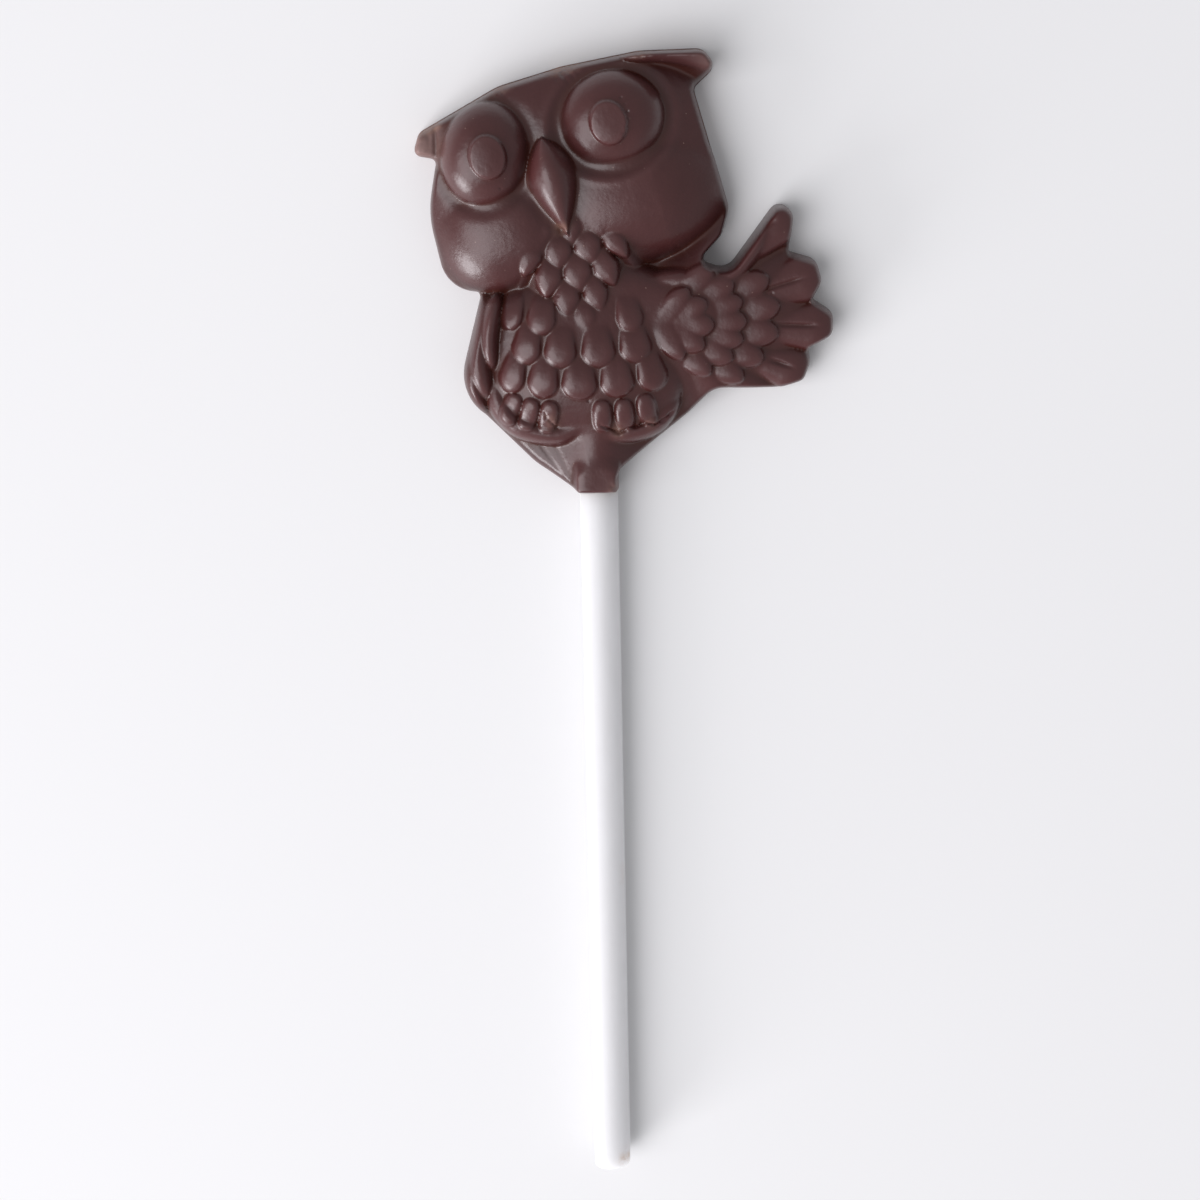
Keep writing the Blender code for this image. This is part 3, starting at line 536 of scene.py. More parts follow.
# %% Ruff
RUFF_AT = (-2.2, 4.0)
RUFF_TURN = math.radians(9)
RUFF_LEVEL = 7.2
RUFF_SPREAD = 0.1
RUFF_END = (4.2, 2.0)
RUFF_FEATHER = {"tip": 2.5, "length": 4.0, "rise": 0.8, "power": 1.5, "full": 2.8}
RUFF_ROWS = (
    (-7.7, ((-0.1, 1.6),)),
    (-5.1, ((-1.8, 1.7), (1.5, 1.6))),
    (-2.4, ((-3.4, 1.7), (-0.1, 1.9), (3.1, 1.6))),
    (0.4, ((-5.1, 1.6), (-1.8, 1.8), (1.6, 1.8), (4.7, 1.4))),
    (3.0, ((-3.4, 1.7), (0.0, 1.7), (3.1, 1.5))),
)


def with_ruff(x, y, s):
    """Pointed feathers under the beak, in a V that ends over the belly."""
    for y0, row in RUFF_ROWS:
        for x0, half in row:
            at = placed(x0, y0, RUFF_AT, RUFF_TURN)
            bump = feather(x, y, at, DOWN + RUFF_TURN + RUFF_SPREAD * x0, half, **RUFF_FEATHER)
            far = ramp(np.hypot(x - at[0], y - at[1]), *RUFF_END)
            s = merge(s, RUFF_LEVEL + bump - BURIED * far, FINE_FILLET)
    return s


print("ruff feathers:", sum(len(row) for _, row in RUFF_ROWS))

# %% Eyes
EYES = ((5.2, 4.7, 0, 6.1, 5.5, 0.1), (-9.6, 4.6, -28, 5.2, 6.0, 0.0))
EYE_LEVEL = 10.3
EYE_BULK = 3.0
EYE_SINK = 1.6
EYE_FULL = 2.5
SOCKET = {"at": 1.04, "depth": 0.25, "half": 0.8}
SOCKET_RIM = {"at": 1.24, "half": 0.6}
PUPIL_HALF = (2.05, 2.45)
PUPIL_SHIFT = -0.2
PUPIL_SQUEEZE = 0.95
PUPIL_RISE = 0.5
PUPIL_EDGE = 0.16


def with_eyes(x, y, s):
    """Two domed eyes, each in a shallow socket with a soft rim, and each with a raised pupil."""
    for p0, q0, degrees, half_a, half_b, rim in EYES:
        r = oval(x, y, on_head(p0, q0), HEAD_TURN + math.radians(degrees), half_a, half_b)
        s = s - SOCKET["depth"] * bell((r - SOCKET["at"]) * half_a, SOCKET["half"])
        s = s + rim * bell((r - SOCKET_RIM["at"]) * half_a, SOCKET_RIM["half"])
        s = merge(s, EYE_LEVEL - EYE_BULK + dome(r, EYE_BULK, EYE_SINK, EYE_FULL))
        at = on_head(PUPIL_SQUEEZE * p0 + PUPIL_SHIFT, q0 + PUPIL_SHIFT)
        pupil = oval(x, y, at, HEAD_TURN, *PUPIL_HALF)
        s = s + PUPIL_RISE * ramp(pupil, 1 + PUPIL_EDGE / 2, -PUPIL_EDGE)
    return s


print("eye tops at", EYE_LEVEL + PUPIL_RISE, "mm")

# %% Beak
BEAK_AT = (-3.0, 0.2)
BEAK_LEVEL = 10.7
BEAK_HALF = 2.7
BEAK_ABOVE = 4.6
BEAK_BELOW = 6.8
BEAK_FLANK = 2.6
BEAK_FULL = 2.3
BEAK_ROUND = 0.6
BEAK_POINT = 1.8
BEAK_SPILL = 3.0
BEAK_CREST = 0.5
BEAK_BOW_ABOVE = 0.095
BEAK_BOW_BELOW = 0.05


def with_beak(x, y, s):
    """Kite-shaped beak with a rounded ridge and a tip bent down over the ruff."""
    u, v = turned(x, y, on_head(*BEAK_AT), HEAD_TURN)
    above = np.clip(1 - (np.clip(v, 0, None) / BEAK_ABOVE) ** 2, 0, 1) ** BEAK_ROUND
    below = np.clip(1 - (np.clip(-v, 0, None) / BEAK_BELOW) ** BEAK_POINT, 0, 1)
    half = BEAK_HALF * above * below + NEVER_ZERO
    bow = np.where(v > 0, BEAK_BOW_ABOVE, BEAK_BOW_BELOW)
    crest = BEAK_LEVEL - bow * (v - BEAK_CREST) ** 2
    beak = crest - BEAK_FLANK * np.clip(np.abs(u) / half, 0, BEAK_SPILL) ** BEAK_FULL
    on_beak = (v < BEAK_ABOVE) & (v > -BEAK_BELOW)
    return merge(s, np.where(on_beak, beak, 0))


print(f"beak: {BEAK_ABOVE + BEAK_BELOW:.1f} mm long, {2 * BEAK_HALF} mm wide")

# %% Head
HEAD_LEVEL = 7.9
HEAD_BULK = 4.9
SKULL_AT = (-0.4, 0.2)
SKULL_HALF = (18.4, 12.7)
SKULL_POWER = 3.4
RIGHT_FALL = (8.0, 0.1, 1.3)
LEFT_FALL = (12.0, 0.05, 1.5)
SKULL_FULL = 3.0
TUFT_LEVEL = 6.3
TUFT_WELT = {"half": 2.1, "rise": 1.6, "blunt": 3.0}
TUFT = ((7.5, 12.0), (12.5, 11.4), (16.2, 9.8), (19.6, 6.9))
LOBE_LEVEL = 2.8
LOBE_AT = (-16.7, 7.3)
LOBE_HALF = (2.4, 3.0)
LOBE_RISE = 2.9
LOBE_FULL = 2.4
LOBE_CREASE = ((-14.2, 11.0), (-14.7, 8.0), (-15.6, 4.6))
LOBE_CREASE_DEPTH = 0.35
LOBE_CREASE_HALF = 0.3
CHEEKS = ((-11.4, -5.2, 12, 7.0, 6.4), (7.4, -4.9, -14, 9.6, 6.6))
CHEEK_POWER = 2.2
CHEEK_DROP = 0.3
CHEEK_RISE = 1.25
CHEEK_SINK = 0.9
CHEEK_FULL = 2.8


def skull(x, y):
    """Broad mass of the head, falling away to its two sides."""
    p, _ = turned(x, y, HEAD_AT, HEAD_TURN)
    rim = oval(x, y, on_head(*SKULL_AT), HEAD_TURN, *SKULL_HALF, SKULL_POWER)
    fall = 0.0
    for out, (start, amount, power) in ((p, RIGHT_FALL), (-p, LEFT_FALL)):
        fall = fall + amount * np.clip(out - start, 0, None) ** power
    return HEAD_LEVEL - HEAD_BULK + dome(rim, HEAD_BULK, full=SKULL_FULL) - fall


def with_tufts(x, y, s):
    """Right tuft as a welt along the head's edge, left one as a lobe behind a crease."""
    rise, _ = welt(x, y, bend([on_head(*point) for point in TUFT]), **TUFT_WELT)
    s = merge(s, TUFT_LEVEL + rise)
    near, _, _ = from_run(x, y, bend([on_head(*point) for point in LOBE_CREASE]))
    s = s - LOBE_CREASE_DEPTH * bell(near, LOBE_CREASE_HALF)
    r = oval(x, y, on_head(*LOBE_AT), HEAD_TURN, *LOBE_HALF)
    return merge(s, LOBE_LEVEL + dome(r, LOBE_RISE, full=LOBE_FULL))


def with_head(x, y, s):
    """Head, tufts, cheeks, ruff, eyes and beak laid over the body."""
    bulk = skull(x, y)
    s = with_tufts(x, y, merge(s, bulk))
    for p0, q0, degrees, half_a, half_b in CHEEKS:
        r = oval(x, y, on_head(p0, q0), HEAD_TURN + math.radians(degrees), half_a, half_b, CHEEK_POWER)
        s = merge(s, bulk - CHEEK_DROP + dome(r, CHEEK_RISE, CHEEK_SINK, CHEEK_FULL))
    return with_beak(x, y, with_eyes(x, y, with_ruff(x, y, s)))


print("head:", [2 * half for half in SKULL_HALF], "mm")

# %% [markdown]
# A real casting is never as clean as its mould. Air bubbles leave pits, a foot comes out of the
# mould with a crack, and the edge is nicked at the top and beside the stick. They are shallow, so
# they are taken off the height as small bells and as jagged lines.

# %% Small faults of the casting
PITS = (
    (-3.6, 6.5, 0.55, 0.5), (3.35, 21.0, 0.14, 0.22), (3.8, 20.3, 0.11, 0.18), (4.05, 19.5, 0.15, 0.26),
    (4.1, 18.7, 0.11, 0.18), (3.95, 17.9, 0.13, 0.22), (3.6, 17.1, 0.1, 0.14), (-10.4, 11.3, 0.12, 0.15),
    (-4.3, -1.0, 0.13, 0.15), (9.6, 4.2, 0.12, 0.15), (-1.0, -13.2, 0.14, 0.2), (20.5, -1.4, 0.13, 0.2))
CRACKS = (
    (0.42, ((-0.3, -15.7), (0.7, -16.4), (1.6, -16.8), (2.5, -17.3), (3.6, -16.6), (4.7, -16.6),
            (5.6, -16.1), (6.8, -16.4), (8.0, -15.7), (9.4, -14.5))),
    (0.2, ((-6.2, -14.2), (-5.9, -15.2), (-5.2, -15.9), (-4.6, -16.7))))
NICKS = (
    (-3.0, 24.4, 1.0, 0.6), (-10.4, 22.2, 0.8, 0.45), (5.6, 26.0, 0.7, 0.3), (-18.9, 17.7, 0.5, 0.2),
    (2.0, -24.2, 0.5, 0.5))
NICK_WANDER = 0.15
CRACK_HALF = 0.16
CRACK_WANDER = 0.1
CRACK_WAVES = (41, 17)
CRACK_OPENS = 1 / 6
CRACK_CLOSES = 1 / 8


def ripple(x, y):
    """Slow unevenness of the surface: six crossed sine waves of unlike length and direction."""
    waves = ((0.31, 0.17, 0.4), (-0.22, 0.41, 1.9), (0.53, -0.36, 2.7), (0.12, -0.71, 0.3),
             (0.88, 0.52, 4.1), (-0.95, 0.77, 5.2))
    return sum(np.sin(a * x + b * y + c) for a, b, c in waves) / len(waves)


def faults(x, y):
    """Depth to take off: pits and nicks as (x, y, radius, depth), and cracks that wander in width."""
    lost = 0.0 * x
    for x0, y0, radius, deep in PITS:
        lost = lost + deep * bell(np.hypot(x - x0, y - y0), radius)
    for x0, y0, radius, deep in NICKS:
        ragged = NICK_WANDER * np.sin(6 * x + 5 * y)
        lost = lost + deep * bell(np.hypot(x - x0, y - y0) + ragged, radius)
    for deep, line in CRACKS:
        near, along, _ = from_run(x, y, line)
        quick, slow = (np.sin(waves * along + k) for k, waves in enumerate(CRACK_WAVES))
        width = CRACK_HALF + CRACK_WANDER * quick * slow
        open_here = ramp(along, 0, CRACK_OPENS) * ramp(along, 1, -CRACK_CLOSES)
        lost = lost + deep * bell(near, width) * open_here
    return lost


print(len(PITS), "pits,", len(NICKS), "nicks and", len(CRACKS), "cracks")

# %% [markdown]
# Now the whole face. The rim rises steeply from the back and rounds over, as a mould with a little
# draft leaves it. Along the top of the head a thin lip is left, where the mould was overfilled.

# %% Height of the face
EDGE_WIDTH = 0.75
EDGE_WIDER = 0.9
EDGE_WIDER_X = (-2.0, -5.0)
EDGE_WIDER_Y = (-1.0, -5.0)
EDGE_POWER = 2.8
LIP_WIDTH = 0.16
LIP_RISE = 0.7
LIP_Y = (13.5, 3.0)
LIP_FOOT = 0.06
RIPPLE_RISE = 0.05


def rim_profile(x, y, d):
    """Share of the full height at depth d: a quarter of a rounded square, wider at the lower left."""
    width = EDGE_WIDTH + EDGE_WIDER * ramp(x, *EDGE_WIDER_X) * ramp(y, *EDGE_WIDER_Y)
    t = np.clip(d / width, 0, 1)
    return (1 - (1 - t) ** EDGE_POWER) ** (1 / EDGE_POWER)


def clean_face(x, y, d):
    """Face as the mould has it, before its rim is rounded."""
    return with_head(x, y, merge(lower_half(x, y, d), raised_wing(x, y)))


def face_height(x, y, d):
    """Height of the cast face at points that lie d inside the outline."""
    s = clean_face(x, y, d) + RIPPLE_RISE * ripple(x, y) - faults(x, y)
    lipped = ramp(y, *LIP_Y)
    lip = LIP_RISE * lipped * ease(d / LIP_FOOT)
    return np.maximum(s * rim_profile(x, y, np.clip(d - LIP_WIDTH * lipped, 0, None)), lip)


print(f"rim: {EDGE_WIDTH} mm wide over a {LIP_RISE} mm lip")

# %% [markdown]
# The plan of the mesh is three sets of points: the outline, rings that hug it where the rim is
# steep, and an even grid of triangles inside. A constrained Delaunay triangulation joins them and
# keeps to the outline, where a grid of squares would show steps.

# %% Plan of the mesh
GRID_STEP = 0.165
RING_OFFSETS = (0.02, 0.06, 0.12, 0.19, 0.23, 0.29, 0.37, 0.48, 0.61, 0.76)
CLEAR_OF_CORNERS = 0.97
GRID_CLEARANCE = 0.6 * GRID_STEP


def plan_points(edge):
    """Outline, rings just inside it, and a grid of even triangles clear of the last ring."""
    along = np.roll(edge, -1, 0) - np.roll(edge, 1, 0)
    along /= np.linalg.norm(along, axis=1)[:, None]
    inward = np.stack([along[:, 1], -along[:, 0]], 1)
    groups = [edge]
    for offset in RING_OFFSETS:
        ring = edge + offset * inward
        groups.append(ring[inside_distance(*ring.T, edge) > CLEAR_OF_CORNERS * offset])
    low, high = edge.min(0), edge.max(0)
    rows = np.arange(low[1], high[1], GRID_STEP * math.sqrt(3) / 2)
    grid_x, grid_y = np.meshgrid(np.arange(low[0], high[0], GRID_STEP), rows)
    grid_x = grid_x + (np.arange(len(rows)) % 2)[:, None] * GRID_STEP / 2
    grid = np.stack([grid_x.ravel(), grid_y.ravel()], 1)
    groups.append(grid[inside_distance(*grid.T, edge) > RING_OFFSETS[-1] + GRID_CLEARANCE])
    return np.concatenate(groups)


plan = plan_points(edge)
print(len(plan), "points in plan")

# %% Casting as a closed mesh
def shade_smooth(piece, degrees):
    """Smooth shading, apart from edges that turn by more than some degrees."""
    piece.data.polygons.foreach_set("use_smooth", np.ones(len(piece.data.polygons), bool))
    piece.data.set_sharp_from_angle(angle=math.radians(degrees))


def new_object(name, data):
    """Object in the scene that holds a mesh, a light or a camera."""
    thing = bpy.data.objects.new(name, data)
    bpy.context.scene.collection.objects.link(thing)
    return thing


def new_piece(name, points, faces):
    """Mesh object in the scene from points in millimetres and lists of corners."""
    mesh = bpy.data.meshes.new(name)
    mesh.from_pydata((points * MM).tolist(), [], faces)
    mesh.validate()
    return new_object(name, mesh)


def casting_mesh(edge, plan):
    """Relief over the plan, closed by one flat face under the outline."""
    loop = list(range(len(edge)))
    flat, _, faces, _, _, _ = delaunay_2d_cdt(plan.tolist(), [], [loop], 1, 1e-6)
    flat = np.array([tuple(point) for point in flat])
    depth = np.clip(inside_distance(*flat.T, edge), 0, None)
    height = face_height(*flat.T, depth)
    height[:len(edge)] = 0
    points = np.column_stack([flat, height])
    return new_piece("owl_casting", points, faces + [loop])


owl = casting_mesh(edge, plan)
print(len(owl.data.polygons), "faces,", [round(side / MM, 1) for side in owl.dimensions], "mm")

# %% [markdown]
# The stick is a profile carried round a circle. Rolled paper is cut with a knife, so the rim of
# each end is only slightly rounded, and the outer end is a touch askew. All rings come at once:
# radius and place along the stick for each ring, cosine and sine for each side.

# %% Stick
STICK_SIDES = 96
CAP_STEPS = 5
STICK_SKEW = 0.3
SKEW_RUN = 8.0
CAP_RINGS = (0.25, 1.0, 1.6)
BODY_RINGS = 90
BODY_INSET = 1.0
SEAM_AT = 0.28
SEAM_WIDTH = 0.02
RIM_ROUND = 0.16
ROLL_STEP = 0.05


def stick_mesh():
    """Rings of a rolled rod from its root to its end, each end closed by a small round face.

    The radius dips by ROLL_STEP at the free edge of the paper and climbs back over SEAM_WIDTH of a turn."""
    turn = np.linspace(0, math.pi / 2, CAP_STEPS)
    cap_radius = np.r_[CAP_RINGS, STICK_RADIUS - RIM_ROUND * (1 - np.sin(turn))]
    cap_along = np.r_[np.zeros(len(CAP_RINGS)), RIM_ROUND * (1 - np.cos(turn))]
    body = np.linspace(STICK_ROOT - BODY_INSET, STICK_END + BODY_INSET, BODY_RINGS)
    radius = np.r_[cap_radius, np.full(BODY_RINGS, STICK_RADIUS), cap_radius[::-1]]
    along = np.r_[STICK_ROOT - cap_along, body, STICK_END + cap_along[::-1]]
    angle = np.arange(STICK_SIDES) * 2 * math.pi / STICK_SIDES
    seam = ease((angle / (2 * math.pi) + SEAM_AT) % 1.0 / SEAM_WIDTH)
    skin = radius[:, None] - ROLL_STEP * (1 - seam) * (radius[:, None] / STICK_RADIUS)
    x = skin * np.sin(angle)
    z = skin * np.cos(angle) + STICK_AXIS_HEIGHT
    near_end = ramp(along, STICK_END + SKEW_RUN, -SKEW_RUN)[:, None]
    y = along[:, None] + STICK_SKEW * near_end * (x + STICK_RADIUS) / (2 * STICK_RADIUS)
    points = np.stack([x, y, z], 2).reshape(-1, 3)
    ring = np.arange(len(radius) - 1)[:, None] * STICK_SIDES
    side = np.arange(STICK_SIDES)
    after = (side + 1) % STICK_SIDES
    quads = np.stack([ring + side, ring + STICK_SIDES + side, ring + STICK_SIDES + after, ring + after], 2)
    last = (len(radius) - 1) * STICK_SIDES
    faces = quads.reshape(-1, 4).tolist() + [side.tolist(), (last + side[::-1]).tolist()]
    return new_piece("rolled_stick", points, faces)


stick = stick_mesh()
print(len(stick.data.polygons), "faces on the stick")

# %% [markdown]
# The stick was in the mould when the chocolate went in, so the casting has a blind hole of its
# shape. A Boolean cuts it, a hair wider than the stick. It is hidden but for its mouth.

# %% Socket in the casting
def cut_socket(casting):
    """Takes a rod a little thicker than the stick out of the casting, then keeps the cut mesh."""
    radius = (STICK_RADIUS + SOCKET_GAP) * MM
    start, stop = MOUTH_Y - 1.0, STICK_ROOT + SOCKET_GAP
    bpy.ops.mesh.primitive_cylinder_add(vertices=STICK_SIDES, radius=radius, depth=(stop - start) * MM)
    cutter = bpy.context.object
    cutter.data.transform(Matrix.Rotation(math.radians(90), 4, "X"))
    cutter.data.transform(Matrix.Translation((0, (start + stop) / 2 * MM, STICK_AXIS_HEIGHT * MM)))
    cut = casting.modifiers.new("socket", "BOOLEAN")
    cut.operation = "DIFFERENCE"
    cut.solver = "EXACT"
    cut.object = cutter
    graph = bpy.context.evaluated_depsgraph_get()
    casting.data = bpy.data.meshes.new_from_object(casting.evaluated_get(graph))
    casting.modifiers.clear()
    bpy.data.objects.remove(cutter, do_unlink=True)


cut_socket(owl)
print(len(owl.data.polygons), "faces after the socket is cut")

# %% [markdown]
# Light and shade are painted into the colour of the chocolate too: creases get a warm, dark painted
# shade, crests a paler painted highlight, wide hollows a deeper painted shade, and nicked edges show
# a matt light brown. Ambient occlusion could find the creases, but it is a render effect that other
# programs lose. Here a blurred copy of the height map is compared with the height itself, and the
# result is stored on the mesh.

# %% Painted shade in hollows, painted highlight on crests
MAP_STEP = 0.2
HOLLOW_BLUR = 0.55
BROAD_BLUR = 2.2
MAP_MARGIN = 3.0
map_low = edge.min(0) - MAP_MARGIN
map_size = np.ceil((np.ptp(edge, 0) + 2 * MAP_MARGIN) / MAP_STEP).astype(int)
map_x, map_y = np.meshgrid(map_low[0] + np.arange(map_size[0]) * MAP_STEP,
                           map_low[1] + np.arange(map_size[1]) * MAP_STEP)


def blurred(grid, width):
    """Gaussian blur of a grid, done on its Fourier transform."""
    down, across = (left_by_blur(count, width / MAP_STEP) for count in grid.shape)
    return np.real(np.fft.ifft2(np.fft.fft2(grid) * down[:, None] * across))


def sampled(grid, x, y):
    """Value of a grid at any points, blended from the four grid points around each."""
    u = np.clip((x - map_low[0]) / MAP_STEP, 0, map_size[0] - 1.001)
    v = np.clip((y - map_low[1]) / MAP_STEP, 0, map_size[1] - 1.001)
    i, j = u.astype(int), v.astype(int)
    u, v = u - i, v - j
    low = grid[j, i] * (1 - u) + grid[j, i + 1] * u
    high = grid[j + 1, i] * (1 - u) + grid[j + 1, i + 1] * u
    return low * (1 - v) + high * v


def paint(piece, name, values):
    """Stores one number for each point of a piece."""
    layer = piece.data.attributes.new(name, "FLOAT", "POINT")
    layer.data.foreach_set("value", np.asarray(values, np.float32))


def points_of(piece):
    """Points of a piece in millimetres, as an array."""
    flat = np.empty(len(piece.data.vertices) * 3, np.float32)
    piece.data.vertices.foreach_get("co", flat)
    return flat.reshape(-1, 3).astype(float) / MM


map_depth = inside_distance(map_x.ravel(), map_y.ravel(), edge).reshape(map_x.shape)
map_face = clean_face(map_x, map_y, np.clip(map_depth, 0, None))
# Positive in creases, where shade is painted; negative on crests, where a highlight is painted.
near_hollow = blurred(map_face, HOLLOW_BLUR) - map_face
# Wide hollows, where a deeper shade is painted.
broad_hollow = blurred(map_face, BROAD_BLUR) - map_face
print(f"hollows to {near_hollow.max():.2f} mm, crests to {-near_hollow.min():.2f} mm")

# %% [markdown]
# Bloom is a greyish veil of cocoa butter where the casting was thin and cooled fast: the tuft on
# the left has it. Scuffs follow the rim and the nicks. Both are painted as numbers, 0 for none.

# %% Wear of the casting
BLOOM_SPOTS = ((-19.5, 16.3, 2.2, 1.0), (13.4, 25.0, 1.4, 0.35), (2.0, -23.9, 0.9, 0.5))
RIM_SPOTS = (
    (-3.0, 24.3, 1.6, 1.0), (-10.4, 22.2, 1.2, 0.8), (5.6, 26.0, 1.1, 0.6), (2.0, -24.2, 0.6, 0.9),
    (-18.5, 18.0, 0.9, 1.4), (-19.7, 17.5, 0.8, 1.3), (-17.7, 18.0, 0.6, 1.2))
SCUFF_SPOTS = (
    (-3.6, 6.5, 0.8, 0.7), (2.4, -17.0, 0.8, 0.5), (6.2, -16.2, 0.7, 0.4), (-5.3, -15.6, 0.9, 0.6))
RIM_SPOT_DEPTH = (1.3, -0.6)
FACE_DEPTH = (0.1, 0.5)
HOLLOW_FULL = 0.3
BROAD_FULL = 1.6
VEILED = 0.9
TOP_EDGE_Y = (13.0, 6.0)
TOP_EDGE_OUTER = (0.01, 0.08)
TOP_EDGE_INNER = (0.3, -0.2)
SCUFF_MOST = 1.3


def spots(x, y, table):
    """Strongest of several soft spots at each point, given as (x, y, radius, strength)."""
    return np.max([strength * bell(np.hypot(x - x0, y - y0), radius)
                   for x0, y0, radius, strength in table], 0)


x, y, z = points_of(owl).T
depth = np.clip(inside_distance(x, y, edge), 0, None)
on_face = ramp(depth, *FACE_DEPTH)
veil = spots(x, y, BLOOM_SPOTS)
# Painted shade in creases and painted highlight on crests, both fainter where bloom lies.
painted_shade_and_highlight = np.clip(sampled(near_hollow, x, y) / HOLLOW_FULL, -1, 1)
paint(owl, "painted_shade_and_highlight", painted_shade_and_highlight * on_face * (1 - VEILED * veil))
# Painted shade in wide hollows.
paint(owl, "broad_painted_shade", np.clip(sampled(broad_hollow, x, y) / BROAD_FULL, -1, 1) * on_face)
paint(owl, "bloom", veil * ease(z))
top_edge = ramp(y, *TOP_EDGE_Y) * ramp(depth, *TOP_EDGE_OUTER) * ramp(depth, *TOP_EDGE_INNER)
at_rim = spots(x, y, RIM_SPOTS) * ramp(depth, *RIM_SPOT_DEPTH)
paint(owl, "scuff", np.clip(top_edge + at_rim + spots(x, y, SCUFF_SPOTS), 0, SCUFF_MOST))
print(f"{(top_edge > 0).mean():.1%} of the points lie on the rubbed top edge")

# %% Marks on the stick
STICK_MARKS = ((2.0, -72.6, 0.45, 1.0), (1.6, -110.6, 0.9, 0.8), (-0.8, -111.9, 0.6, 0.4))
SHOWN_RUN = 1.5
WICK_RUN = 0.9

x, y, z = points_of(stick).T
shown_side = ramp(z, STICK_AXIS_HEIGHT - SHOWN_RUN, SHOWN_RUN)
paint(stick, "stain", spots(x, y, STICK_MARKS) * shown_side)
paint(stick, "cocoa", ramp(y, MOUTH_Y - WICK_RUN, WICK_RUN))
print("stick marks:", len(STICK_MARKS))

# %% [markdown]
# Effects that both finishes share become node groups with named inputs, and each gives out a mask
# or a height. Cloudiness is two noises of unlike size, for uneven colour. Specks are pinpoints, from
# the middles of Voronoi cells. The third is a fine skin.

# %% Node group helpers
def new_group(name, inputs, output):
    """Empty node group with a Vector input, number inputs and one output; also their sockets."""
    group = bpy.data.node_groups.new(name, "ShaderNodeTree")
    rows = [("Vector", "INPUT", "Vector"), *((label, "INPUT", "Float") for label in inputs),
            (output, "OUTPUT", "Float")]
    for label, way, kind in rows:
        group.interface.new_socket(name=label, in_out=way, socket_type="NodeSocket" + kind)
    given, result = group.nodes.new("NodeGroupInput"), group.nodes.new("NodeGroupOutput")
    return group, given.outputs, result.inputs[output]


def feed(tree, node, inputs):
    """Links sockets into a node or sets its values; inputs go by label or number. Gives the node."""
    for key, value in inputs.items():
        if isinstance(value, bpy.types.NodeSocket):
            tree.links.new(value, node.inputs[key])
        else:
            node.inputs[key].default_value = value
    return node


def math_node(tree, operation, a, b, clamp=False):
    """Math node whose two inputs are numbers or sockets; gives its output."""
    node = tree.nodes.new("ShaderNodeMath")
    node.operation = operation
    node.use_clamp = clamp
    return feed(tree, node, {0: a, 1: b}).outputs[0]


def times(tree, a, b, clamp=False):
    """Product of two numbers or sockets."""
    return math_node(tree, "MULTIPLY", a, b, clamp)


def plus(tree, a, b, clamp=False):
    """Sum of two numbers or sockets."""
    return math_node(tree, "ADD", a, b, clamp)


def noise_node(tree, vector, scale, detail):
    """Noise on a vector; scale is a number or a socket; gives the Factor output."""
    node = tree.nodes.new("ShaderNodeTexNoise")
    return feed(tree, node, {"Vector": vector, "Scale": scale, "Detail": detail}).outputs[0]

# %% Shared effects
def cloud_group():
    """Cloudiness: a coarse noise plus a share of one four times finer, stretched about the middle."""
    group, given, result = new_group("cloudiness", ("Scale", "Contrast"), "Mask")
    coarse = noise_node(group, given["Vector"], given["Scale"], 2.0)
    fine = noise_node(group, given["Vector"], times(group, given["Scale"], 4.3), 3.0)
    both = plus(group, times(group, coarse, 0.65), times(group, fine, 0.35))
    stretched = times(group, plus(group, both, -0.5), given["Contrast"])
    group.links.new(plus(group, stretched, 0.5, clamp=True), result)
    return group


def speck_group():
    """Specks: 1 within Size of a Voronoi cell's middle, kept only where a slow noise is above Rarity."""
    group, given, result = new_group("specks", ("Scale", "Size", "Rarity"), "Mask")
    cells = group.nodes.new("ShaderNodeTexVoronoi")
    feed(group, cells, {"Vector": given["Vector"], "Scale": given["Scale"]})
    close = math_node(group, "LESS_THAN", cells.outputs["Distance"], given["Size"])
    drift = noise_node(group, given["Vector"], given["Scale"], 0.0)
    kept = math_node(group, "GREATER_THAN", drift, given["Rarity"])
    group.links.new(times(group, close, kept), result)
    return group


def skin_group():
    """Fine skin: soft dimples with a finer grain on them, as a height from 0 to 1."""
    group, given, result = new_group("fine_skin", ("Scale", "Grain"), "Height")
    dimples = noise_node(group, given["Vector"], given["Scale"], 1.0)
    grain = noise_node(group, given["Vector"], times(group, given["Scale"], 5.0), 2.0)
    group.links.new(plus(group, dimples, times(group, grain, given["Grain"])), result)
    return group


CLOUDS, SPECKS, SKIN = cloud_group(), speck_group(), skin_group()
print("node groups:", [g.name for g in (CLOUDS, SPECKS, SKIN)])

# %% Material helpers
def effect(tree, group, vector, **values):
    """Places a shared effect in a material with its own values; gives its output."""
    node = tree.nodes.new("ShaderNodeGroup")
    node.node_tree = group
    return feed(tree, node, {"Vector": vector, **values}).outputs[0]


def stored(tree, name):
    """Reads a number painted on the mesh."""
    node = tree.nodes.new("ShaderNodeAttribute")
    node.attribute_name = name
    return node.outputs["Fac"]


def mixed(tree, factor, a, b):
    """Blends two colours, each a value or a socket; gives the colour."""
    node = tree.nodes.new("ShaderNodeMix")
    node.data_type = "RGBA"
    a, b = ((*colour, 1) if isinstance(colour, tuple) else colour for colour in (a, b))
    return feed(tree, node, {0: factor, 6: a, 7: b}).outputs[2]


def bumped(tree, shader, height, distance):
    """Drives the shader's Normal from a height through a Bump node."""
    node = tree.nodes.new("ShaderNodeBump")
    feed(tree, node, {"Strength": 1.0, "Distance": distance, "Height": height})
    tree.links.new(node.outputs[0], shader.inputs["Normal"])


def new_material(name):
    """Node material with its Principled shader and the Object coordinates."""
    surface = bpy.data.materials.new(name)
    surface.use_nodes = True
    tree = surface.node_tree
    place = tree.nodes.new("ShaderNodeTexCoord").outputs["Object"]
    return surface, tree, tree.nodes["Principled BSDF"], place
